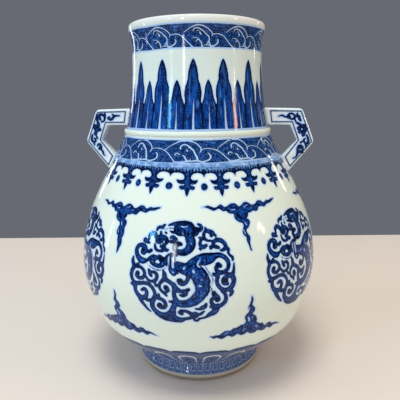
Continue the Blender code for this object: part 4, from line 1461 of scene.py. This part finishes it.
# %% [markdown]
# ## Plantain leaves on the neck
# Fourteen tall leaves stand on the neck string with a short one behind each gap. They are closed
# shapes, listed by their right half. A white midrib is left open in each.
# %% Draw the leaves
TALL_LEAF = [
    (0, 42.8), (2.4, 40), (4.6, 35), (6.1, 30), (7, 25), (7.3, 20), (8, 16.5), (9.6, 12.5), (10.8, 9),
    (11.5, 4), (11.6, -1), (11, -6), (11, -9.5), (11.6, -14), (12.4, -20), (13, -30), (13.4, -38),
    (13.4, -46.5), (0, -46.5),
]
SHORT_LEAF = [
    (0, 17.8), (2.2, 14.6), (4.2, 10), (5.4, 5), (6.2, 0), (7, -4), (8.8, -9), (10, -13), (10.4, -18),
    (10.4, -26), (10, -38), (10, -46.5), (0, -46.5),
]
TALL_RIB = [(0, 5, -0.4), (0.2, -6, 0.4), (0.2, -20, 0.8), (-0.2, -31, 1.1), (0, -43, 1.6)]
SHORT_RIB = [(0, -2, -0.4), (0, -12, 0.3), (0.2, -30, 0.6), (0, -43, 1.1)]
LEAF_DRIFT = [
    (-90, 0, 0), (-45, 0.5, 1), (-25, 0, 1), (-10, 0.6, 0.7), (2, 1.4, 0.7), (16, -0.6, 1.2),
    (34, -0.8, 0.7), (60, 0, 1), (90, 0, 0),
]
print("a tall leaf has", len(mirrored(TALL_LEAF)), "points and a short one", len(mirrored(SHORT_LEAF)))

# %% [markdown]
# ## The ring of leaves
# The tall leaves are painted first and the short ones behind them, so a short leaf's outline is
# kept only where no tall leaf covers it. The repeats close up a little towards the front.
# %% Place the leaves
LEAVES = 14
LEAF_START = 3.3
LEAF_ZONE = (0.345, 0.445)
LEAF_REPEAT = {"radius": 96, "height": 396, "crowded": 1.9, "drift": LEAF_DRIFT}


def paint_leaves(canvas):
    """Fourteen tall and fourteen short leaves."""
    zone = (canvas.z > LEAF_ZONE[0]) & (canvas.z < LEAF_ZONE[1])
    across, up = canvas.repeat(LEAVES, LEAF_START, **LEAF_REPEAT)
    tall = np.where(zone, patch(mirrored(TALL_LEAF), across, up), REACH)
    behind, up = canvas.repeat(LEAVES, LEAF_START + 180 / LEAVES, **LEAF_REPEAT)
    short = np.where(zone, patch(mirrored(SHORT_LEAF), behind, up), REACH)
    canvas.add("ink", tall)
    canvas.add("ink", short)
    canvas.add("line", np.where(tall < 0.4, np.abs(tall + 0.8) - 1.1, REACH))
    canvas.add("line", np.where((tall > 0) & (short < 0.4), np.abs(short + 0.6) - 0.9, REACH))
    canvas.add("deep", np.where(tall < 1, 27 - up, REACH))
    canvas.add("deep", np.where((tall > 0) & (short < 1), 6 - up, REACH))
    canvas.add("bare", np.where(zone, up + 42.6, REACH))
    canvas.add("bare", np.where(zone, strokes([TALL_RIB], across, up), REACH))
    canvas.add("bare", np.where(zone, strokes([SHORT_RIB], behind, up), REACH))


print("a tall leaf comes every", round(math.tau * LEAF_REPEAT["radius"] / LEAVES, 1), "mm")

# %% [markdown]
# ## Bands of waves
# A band of breaking waves runs under the lip and another round the collar. The ground is blue, and
# the crests are thin lines left white. Each band repeats one wave, drawn a little differently.
# %% Draw the waves
NECK_WAVE = [
    [(-10.4, 5.2, 0.5), (-5, 9, 0.6), (0, 11.5, 0.7), (4, 12.9, 0.8), (8, 13.2, 0.8),
     (13, 12.4, 0.7), (18, 10.2, 0.6), (22, 7.2, 0.6), (25, 3.8, 0.6), (24.6, 0.6, 0.6)],
    [(25.6, 2.6, 0.5), (30, 3.6, 0.5), (35, 3.2, 0.6), (40, 1.2, 0.6),
     (44, -2.5, 0.6), (48, -6.5, 0.6), (53, -11, 0.7), (56, -13, 0.7)],
    [(0.9, 6, 0.4), (1.6, 8.6, 0.7), (4, 10, 0.6), (8, 9.6, 0.7), (11, 8, 0.7), (14, 6.2, 0.7),
     (16, 4, 0.7), (18.2, 2.2, 0.7), (20.4, 0.2, 0.7), (21.2, -3, 0.8), (20.8, -6, 0.8), (22, -9.5, 0.7)],
    [(9.2, 4.4, 0.8), (10.4, 3, 1.0)], [(20.8, -5, 0.8), (18.4, -7.4, 0.6), (17.6, -9.4, 0.5)],
    [(4, -5.6, 0.5), (6.6, -3, 0.6), (9.6, -4.8, 0.6), (11.2, -8, 0.7), (11.6, -11, 0.8)],
    [(-1.4, -2, 0.4), (1.6, -0.6, 0.4), (4.4, -1.6, 0.4)],
    [(32, -2.6, 0.6), (32.8, -5.2, 0.8), (30.8, -8.2, 0.8), (27, -10.2, 0.7), (22, -11.4, 0.7)],
    [(5, 7.2, 0.3), (8, 6.6, 0.4), (10, 4.6, 0.4)],
    [(12, -10.2, 0.3), (17, -9.4, 0.5), (22, -9.8, 0.5), (27, -10.6, 0.3)],
    [(4, -0.4, 0.3), (7, -2, 0.4), (9.6, -4.6, 0.4)],
]
COLLAR_WAVE = [
    [(-27, 1, 0.5), (-22, 5.6, 0.5), (-15, 9.6, 0.6), (-10, 12, 0.7), (-3, 13, 0.8),
     (4, 12.6, 0.8), (9, 11, 0.7), (14, 7.5, 0.7), (17, 3, 0.7), (16.6, 0, 0.7), (15.4, -2, 0.6)],
    [(16.6, 1, 0.5), (22, 3, 0.5), (28, 2.8, 0.5), (33.4, 1.2, 0.5),
     (37.8, -1.2, 0.5), (42, -5, 0.6), (45.4, -9.2, 0.6), (48.6, -13, 0.7)],
    [(-7.4, 2.8, 0.9), (-7.2, 6.2, 0.8), (-3.6, 8.3, 0.8), (0, 7.6, 0.8), (3, 5.6, 0.9),
     (5.6, 3, 1.0), (8, 0.8, 0.9), (9.2, -2, 0.9), (10.6, -5, 1.0), (12, -8, 1.2), (12.8, -11.6, 1.0)],
    [(0.4, 1.4, 0.7), (1, -0.6, 0.8)],
    [(-13.4, -6.2, 0.6), (-13, -3.9, 0.7), (-10, -3.2, 0.6), (-7.6, -5, 0.5)],
    [(-4.4, -5.8, 0.5), (-1.8, -7.6, 0.9), (-0.6, -10.6, 0.9), (1.6, -13, 0.9)],
    [(24.8, -2.8, 0.6), (27.2, -5.8, 0.9), (27, -9.4, 0.9), (24, -12.4, 0.8), (18.6, -14, 0.8)],
    [(5.4, -9.6, 0.4), (4, -12.6, 0.5)],
    [(-15, -13.8, 0.6), (-8, -14.6, 0.6), (0, -13.8, 0.8),
     (6, -13.4, 0.8), (12, -12.8, 1.0), (19, -14.6, 0.6)],
    [(1.6, 4, 0.4), (4.6, 3.6, 0.5), (7, 1, 0.6)],
]
print("the waves have", len(NECK_WAVE), "and", len(COLLAR_WAVE), "strokes")

# %% [markdown]
# ## The bands round neck and collar
# A wave is longer than the step from one to the next, so its neighbours on both sides are painted
# with it. The layer called hatch says where the shader draws the fine lines beside the crests.
# %% Place the waves
WAVES = 11


def paint_waves(canvas, motif, start, radius, height, low, high, drift):
    """A band of waves between two levels, in millimetres below and above its middle height."""
    across, up = canvas.repeat(WAVES, start, radius, height, drift=drift)
    pitch = math.tau * radius / WAVES
    band = np.maximum(low - up, up - high)
    on_band = band < REACH
    crests = np.full(up.shape, REACH)
    for shift in (-pitch, 0, pitch):
        crests = np.minimum(crests, strokes(motif, np.where(on_band, across - shift, 999), up))
    canvas.add("ink", band)
    canvas.add("bare", np.where(band < -0.4, crests, REACH))
    canvas.add("bare", np.where(band > -0.3, np.abs(band - 0.9) - 0.9, REACH))
    canvas.layers["hatch"] = np.where(canvas.outside & (band < 0), 1.0, canvas.layers["hatch"])


NECK_DRIFT = [
    (-90, -3, -0.6), (-52, -3, -0.6), (-34, -0.8, -1.7), (-16, -0.6, -0.6), (0, 0.6, -0.6),
    (32, 0.8, -0.6), (90, 0, 0),
]
COLLAR_DRIFT = [
    (-100, 0, 0), (-52, 3.2, -0.3), (-33, -0.8, -0.5), (-15, 0, -0.5), (0, 0.7, -0.3), (16, 2.2, -0.5),
    (32, 2.4, 0.5), (43, 1, 0.5), (90, 0, 0),
]


def paint_neck_waves(canvas):
    """Eleven waves under the lip."""
    paint_waves(canvas, NECK_WAVE, 3.2, 94, 465, -11.8, 15.2, NECK_DRIFT)


def paint_collar_waves(canvas):
    """Eleven waves round the collar."""
    paint_waves(canvas, COLLAR_WAVE, -0.7, 110, 330, -15.4, 13.6, COLLAR_DRIFT)


print("a wave comes every", round(360 / WAVES, 1), "degrees")

# %% [markdown]
# ## Scrolls on the handles
# The front and the back of each strap carry a panel with a thin border and a curling spray with one
# flower. Here a point is millimetres to the side of the vase's middle and millimetres above the
# table. The border is the same on both handles, and each has its own spray, first the right one.
# %% Draw the border and the right spray
BORDER = [
    (103.5, 375), (145.5, 374.2), (161.2, 332.6), (132.8, 297.6), (125.8, 310.8), (143.4, 334.4),
    (134, 359.8), (105.8, 359.8),
]
RIGHT_SPRAY = [
    [(115, 367.4, .3), (117.6, 368.4, .6), (120.4, 368.6, .8),
     (123, 367, .8), (126, 366.6, 1), (129.6, 366, 2.1)],
    [(128, 369.2, 1.2), (131, 371.2, 1), (135, 370.2, .9),
     (136.6, 367.2, .9), (135.6, 364.2, .8), (132.4, 363.4, 1)],
    [(140.4, 371.6, .6), (139.6, 368.6, 1), (137.6, 366.6, .9), (137, 363.6, .8), (138.4, 360.6, .7)],
    [(140, 369, 1.2), (142.4, 366.6, 1.9), (143.6, 363.6, 1.6), (145, 361.6, 1.2)],
    [(139.4, 358.6, .8), (142.2, 357.4, 1.3), (144.4, 356.4, 1.2)],
    [(154.2, 341.4, .8), (156, 337, 1.1), (156.8, 332.6, 1.4),
     (154.4, 329.4, 1.3), (151.6, 331.6, 1), (150.6, 335, .9), (152.4, 336.6, .6)],
    [(153.6, 328.4, 1.2), (153.6, 325.4, .8)], [(149, 333, .8), (146.4, 331, 1)],
    [(149.4, 320.6, .8), (149.8, 323.6, 1), (147.6, 326.4, 1.2), (144.4, 326.6, 1.3),
     (142.8, 323.6, 1.3), (142.8, 320, 1.5), (145.6, 318.2, 1.6), (148.4, 318.6, 1.3), (150, 316.6, .8)],
    [(143.4, 319, 1.9), (142.4, 315.6, 1.3), (141.4, 312.4, .8), (139.8, 310, .5), (136.8, 309.2, .5)],
]
RIGHT_PETALS = [
    (149.6, 354.2, 3.2, 2.8), (152.6, 349.8, 2.8, 3), (143.2, 351, 3.1, 3), (145, 346.2, 3.3, 2.9),
    (149.6, 342.6, 2.8, 3.7), (150.6, 346.6, 3.4, 3.2), (145.2, 355.2, 2.8, 2.4), (147.8, 350, 3.4, 3.4),
    (146.4, 323.2, 1.9, 1.9),
]
print("the right spray has", len(RIGHT_SPRAY), "strokes and", len(RIGHT_PETALS), "petals")

# %% [markdown]
# ## The left spray
# The spray on the left handle is drawn as if it were on the right one, because its distance to the
# side is read without its sign.
# %% Draw the left spray and place both
LEFT_SPRAY = [
    [(112.8, 369.2, .5), (117, 369.2, .9), (120.6, 368.4, 1.3), (122.6, 366, 1.6),
     (125.6, 363.8, 1.4), (129, 364.8, 1.2), (129.4, 366.8, .8), (127, 367.6, .6)],
    [(120.4, 369, 1), (123, 371.2, .6)],
    [(134.2, 372.6, .9), (134.6, 369, 1.5), (134.8, 365, 1.2), (136.6, 361.6, .9), (140, 360.6, .8)],
    [(135.4, 368.6, 1.2), (138.8, 371, 1.4), (143.4, 370, 1.9), (146.6, 366.4, 1.8), (146, 361.8, 1.2)],
    [(143.4, 367.6, 2.2), (141.6, 364.4, 1.6)], [(145.4, 361, 1.2), (145, 358, 2), (144.8, 355.4, 2.2)],
    [(154.4, 342, .8), (155.6, 338.6, 1.2), (156, 334.6, 1.3),
     (154, 331.8, 1.3), (151, 332, 1.1), (150.2, 335.2, 1), (152.2, 336.8, .8)],
    [(148.6, 339.4, .9), (147.4, 336.6, .8)], [(152.8, 330.4, 1), (152.4, 327.4, .7)],
    [(148, 325.4, .6), (147.2, 327.2, 1), (144.6, 328.2, 1.2), (142.8, 325.6, 1.6),
     (143.2, 322.2, 1.9), (141.8, 319.6, 1), (140, 316.6, 1.1), (139.4, 313.4, .7), (137.6, 311.6, .4)],
    [(145.6, 321.2, 1.2), (144.6, 323.6, 1)],
]
LEFT_PETALS = [
    (150.4, 353.2, 3, 4.6), (144, 349.6, 3.7, 3), (148, 348.8, 3.8, 3.8), (150, 343.6, 2.9, 3.2),
    (146, 355, 2.6, 3),
]


def paint_handle(canvas):
    """The panel of the handle that the canvas is on."""
    across, up = np.abs(canvas.x) / MM, canvas.z / MM
    for start, end in zip(BORDER, BORDER[1:] + BORDER[:1]):
        canvas.add("line", along(np.array(start), np.array(end), across, up)[1] - 0.85)
    on_right = canvas.x > 0
    sides = ((on_right, RIGHT_SPRAY, RIGHT_PETALS), (~on_right, LEFT_SPRAY, LEFT_PETALS))
    for side, spray, petals in sides:
        canvas.add("ink", np.where(side, strokes(spray, across, up, wider=0.55), REACH))
        for petal in petals:
            canvas.add("ink", np.where(side, oval(across, up, *petal), REACH))
    canvas.add("bare", np.where(on_right, oval(across, up, 147.4, 349.6, 1.1, 1.1), REACH))


print("the left spray has", len(LEFT_SPRAY), "strokes and", len(LEFT_PETALS), "petals")

# %% [markdown]
# ## Painting the pieces
# Each piece is painted once, by the functions above. Only its outside takes the paint: the wall
# within half a millimetre of the outer skin, the outside of the foot ring, and the front and back
# faces of the straps.
# %% Paint the pieces
FOOT_OUTSIDE = 83.5 * MM
STRAP_FACE = 1.0 * MM
PAINTINGS = {
    lower_body: (paint_roundels, paint_clouds, paint_petals),
    upper_body: (paint_roundels, paint_clouds, paint_pendants),
    collar: (paint_collar_waves,),
    neck_piece: (paint_leaves, paint_neck_waves),
    foot_piece: (paint_fret,),
    handle_right: (paint_handle,),
    handle_left: (paint_handle,),
}
for piece, painters in PAINTINGS.items():
    canvas = Canvas(piece)
    if piece == foot_piece:
        canvas.outside = canvas.radius > FOOT_OUTSIDE
    if piece in (handle_right, handle_left):
        canvas.outside = np.abs(canvas.y) > HALF_DEPTH - STRAP_FACE
    for painter in painters:
        painter(canvas)
    canvas.store()

# %% [markdown]
# ## The colours after firing
# The glaze is a cool white, and the cobalt goes from a pale wash to nearly black. The glaze of the
# neck is a little greyer, which is painted shade on the upright wall, and that of the handles a
# little brighter, which is painted light. Each colour is given as it is read from a screen.
# %% Name the colours
GLAZE = colour(228, 239, 226)
# Painted shade: the neck's glaze is greyer than the body's, as the upright wall gets less light from
# above.
NECK_GLAZE_SHADED = colour(217, 230, 223)
LIP_GLAZE = colour(233, 236, 230)
# Painted light: the handles' glaze is brighter than the body's, to make up for the little light that
# falls on their upright faces.
HANDLE_GLAZE_LIT = colour(240, 247, 243)
# Partly painted shade: the glaze's own warm tone near the foot, darkened for the shade there.
FOOT_GLAZE_AND_SHADE = colour(184, 174, 152)
STRING_LIGHT = colour(154, 190, 232)
STRING_DARK = colour(98, 140, 200)
PALE_BLUE = colour(172, 202, 240)
WHITE_LINE = colour(216, 222, 230)
HALO = colour(176, 206, 247)
POOL = colour(80, 138, 214)
WASH_LIGHT = colour(14, 78, 164)
WASH = colour(0, 38, 108)
COBALT = colour(0, 8, 40)
# Painted shade and floor reflection low on the vase: a greyer, paler blue.
PAINTED_HAZE_WASH = colour(104, 114, 142)
PALE_WASH = colour(118, 166, 224)
# The bare clay's own brown, darkened in part as painted shade.
CLAY = colour(150, 138, 124)
DARK_CLAY = colour(128, 110, 92)
print("cobalt is", [round(value, 3) for value in COBALT])

# %% [markdown]
# ## The clear glaze
# The glaze could be a coat over a rough shader. But it lies over all of the porcelain alike, so the
# shader's own reflection, smooth and bright, does the same with less. A faint ripple in it bends
# the lamps' reflections, as on every fired glaze.
# %% Make the glaze glossy
GLOSS = 0.09
REFLECTION = 0.2
RIPPLE_DEPTH = 0.6 * MM
RIPPLE_STRENGTH = 0.3


def glaze_gloss(sheet, base, roughness=GLOSS):
    """The clear glaze: a bright, smooth reflection with a faint ripple."""
    ripple = sheet.noise(30, 2) + sheet.noise(210, 1) * 0.16
    depth = {"Strength": RIPPLE_STRENGTH, "Distance": RIPPLE_DEPTH}
    bump = sheet.node("ShaderNodeBump", Height=ripple, **depth)
    sheet.feed(sheet.shader, {
        "Base_Color": base,
        "Roughness": roughness,
        "Specular_IOR_Level": REFLECTION,
        "Normal": bump.outputs[0],
    })


print("the glaze has a roughness of", GLOSS)


# %% [markdown]
# ## Cobalt under the glaze
# Cobalt is darkest along the edge of a stroke, where the brush leaves its load, and paler and
# mottled inside, with dark heaps and light pools. It could be one flat blue, but this play of tones
# is what makes it look painted by hand. The layers on the mesh say where each tone lies.
# %% Mix the cobalt
def wash_of(sheet, ink, stretched):
    """The cobalt wash: mottled, with light pools inside the broad strokes."""
    mottle = sheet.ramp(sheet.noise(190, 3, 0.6, stretched), 0.40, 0.62)
    pools = sheet.ramp(sheet.noise(240, 1, 0.5, stretched), 0.40, 0.32) * sheet.ramp(ink, -1.6, -2.8)
    wash = sheet.blend(WASH_LIGHT, WASH, mottle * 0.8 + 0.2)
    return sheet.blend(wash, POOL, pools * 0.5)


def waves_of(sheet, bare):
    """On the waves: how dark the hatching is, and where light furrows lie in it."""
    on_wave = sheet.attribute("hatch")
    ridges = sheet.maths("SINE", sheet.attribute("bare") * 2.5) * 0.5 + 0.5
    hatch = sheet.ramp(ridges, 0.25, 0.8) * on_wave
    beside = sheet.ramp(bare, 2.0, 0.6) * on_wave
    furrow = sheet.ramp(ridges, 0.22, 0.02) * on_wave
    specks = sheet.ramp(sheet.noise(620, 2, 0.7), 0.56, 0.64) * (on_wave * 0.5 + 0.5)
    return sheet.greatest(hatch * 0.92, beside * 0.8), sheet.greatest(specks, furrow * 0.3)


def cobalt_of(sheet, ink, bare, wobble, stretched):
    """The colour inside the strokes."""
    # Painted shade and floor reflection, as a greyer, paler wash with softer dark lines.
    dull = sheet.ramp(sheet.attribute("dull"), 3.0, -3.0)
    pale = sheet.ramp(sheet.attribute("pale") + wobble, 2.0, -2.0)
    wash = sheet.blend(wash_of(sheet, ink, stretched), PALE_WASH, pale * 0.7)
    wash = sheet.blend(wash, PAINTED_HAZE_WASH, dull * 0.7)
    rim = sheet.ramp(ink, -2.9, -1.1)
    heaps = sheet.ramp(sheet.noise(330, 2, 0.6, stretched), 0.51, 0.60)
    deep = sheet.ramp(sheet.attribute("deep"), 6.0, -8.0)
    waves, light = waves_of(sheet, bare)
    dark = sheet.greatest(rim * 0.84, heaps * 0.75, waves, deep * 0.62)
    paint = sheet.blend(wash, COBALT, dark * (1 - dull * 0.35))
    return sheet.blend(paint, POOL, light * 0.6)


print("the cobalt reads the layers", ", ".join(LAYERS), "and hatch")


# %% [markdown]
# ## The ground
# Near the paint a little cobalt bleeds into the glaze as a pale halo. The lip is a shade lighter, and
# the foot goes brownish and ends in bare clay, where the glaze was wiped off so that the vase
# wouldn't stick in the kiln. The glaze near the foot and the clay are also painted darker, as
# painted shade under the belly.
# %% Lay the ground
def halo_of(sheet, ink, line, bleed):
    """The pale blue round the paint, which reaches out by some millimetres."""
    halo = sheet.ramp(ink, bleed, 0.0) * 0.6 + sheet.ramp(ink, bleed * 0.5, 0.0) * 0.4
    return sheet.greatest(halo, sheet.ramp(line, 1.8, 0.0) * 0.8)


def bare_clay(sheet, base, height, wobble):
    """The colour and the roughness, with the wiped clay of the standing edge."""
    unglazed = sheet.ramp(height + wobble, 8.6, 7.8)
    grain = sheet.ramp(sheet.noise(700, 3, 0.7), 0.35, 0.7) * 0.35
    clay = sheet.blend(CLAY, DARK_CLAY, grain)
    return sheet.blend(base, clay, unglazed), unglazed * 0.6 + GLOSS


print("the halo is", [round(value, 3) for value in HALO])


# %% [markdown]
# ## The painted glaze
# Now the parts are laid over each other in order: ground, halo, cobalt, dark lines and the lines
# left open. A small wobble of all the distances makes the edges run like a wet brush's.
# %% Mix the painted glaze
def painted_glaze(name, glaze=GLAZE, stretched=(1, 1, 1), shake=1.0, bleed=3.4, pale_lip=False,
                  bare_foot=False):
    """White glaze with the painting that the mesh carries. Shake is how far the edges wobble."""
    sheet = new_sheet(name)
    wobble = ((sheet.noise(260, 2) - 0.5) * 0.9 + (sheet.noise(900, 1) - 0.5) * 0.4) * shake
    ink = sheet.attribute("ink") + wobble
    line = sheet.attribute("line") + wobble
    bare = sheet.attribute("bare") + wobble * 0.5
    upright = sheet.node("ShaderNodeSeparateXYZ", Vector=sheet.place).outputs["Z"]
    height = Channel(sheet, upright) * 1000
    # Near the foot: the glaze's warm tone, with painted shade.
    if bare_foot:
        glaze = sheet.blend(glaze, FOOT_GLAZE_AND_SHADE, sheet.ramp(height, 14.0, 11.0))
    if pale_lip:
        glaze = sheet.blend(glaze, LIP_GLAZE, sheet.ramp(height, 481.0, 485.0))
    # Under the painted shade and floor reflection the open lines go greyish white.
    white = sheet.ramp(sheet.attribute("dull"), -4.0, -8.0)
    base = sheet.blend(glaze, HALO, halo_of(sheet, ink, line, bleed))
    cobalt = cobalt_of(sheet, ink, bare, wobble, stretched)
    base = sheet.blend(base, cobalt, sheet.ramp(ink, 0.3, -0.25))
    base = sheet.blend(base, COBALT, sheet.ramp(line, 0.3, -0.3) * 0.94)
    open_line = sheet.blend(PALE_BLUE, WHITE_LINE, white)
    base = sheet.blend(base, open_line, sheet.ramp(bare, 0.3, -0.3) * 0.95)
    roughness = GLOSS
    # The bare clay, darkened in part as painted shade.
    if bare_foot:
        base, roughness = bare_clay(sheet, base, height, wobble)
    glaze_gloss(sheet, base, roughness)
    print(name, "has", len(sheet.tree.nodes), "nodes")
    return sheet.material


body_material = painted_glaze("painted body glaze")
# The neck's greyer glaze is painted shade.
neck_material = painted_glaze("painted neck glaze", NECK_GLAZE_SHADED, (1, 1, 0.14), pale_lip=True)
# The handles' brighter glaze is painted light.
handle_material = painted_glaze("painted handle glaze", HANDLE_GLAZE_LIT, shake=0.35, bleed=4.5)
foot_material = painted_glaze("painted foot glaze", shake=0.5, bleed=1.0, bare_foot=True)

# %% [markdown]
# ## Glazing the pieces
# The two strings carry no painting. The upper one is plain white, and the one on the shoulder has a
# pale blue wash, which a soft noise makes cloudy.
# %% Glaze the pieces
white = new_sheet("white glaze")
glaze_gloss(white, GLAZE)
shoulder = new_sheet("pale blue glaze")
veil = shoulder.ramp(shoulder.noise(140, 3, 0.6), 0.35, 0.65)
glaze_gloss(shoulder, shoulder.blend(STRING_LIGHT, STRING_DARK, veil))

MATERIALS = {
    lower_body: body_material,
    upper_body: body_material,
    collar: body_material,
    neck_piece: neck_material,
    foot_piece: foot_material,
    handle_right: handle_material,
    handle_left: handle_material,
    neck_string: white.material,
    shoulder_string: shoulder.material,
}
for piece, material in MATERIALS.items():
    piece.data.materials.append(material)
    print(piece.name, "wears", material.name)

# %% [markdown]
# ## Back to the CAD model
# Each new piece takes the place of the CAD node that it was measured from. It rides on the one
# body of the vase, and the slot of its finish is listed beside it.
# %% Tie the pieces to the CAD model
for piece, node, slot in (
    (lower_body, "lower_body", "body_glaze"),
    (upper_body, "upper_body", "body_glaze"),
    (collar, "collar", "collar_glaze"),
    (neck_piece, "neck", "neck_glaze"),
    (foot_piece, "foot_ring", "foot_glaze"),
    (neck_string, "neck_string", "string_glaze"),
    (shoulder_string, "shoulder_string", "string_glaze"),
    (handle_right, "handle_right", "handle_glaze"),
    (handle_left, "handle_left", "handle_glaze"),
):
    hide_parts(node)
    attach(piece, "root")
    print(piece.name, "replaces", node)
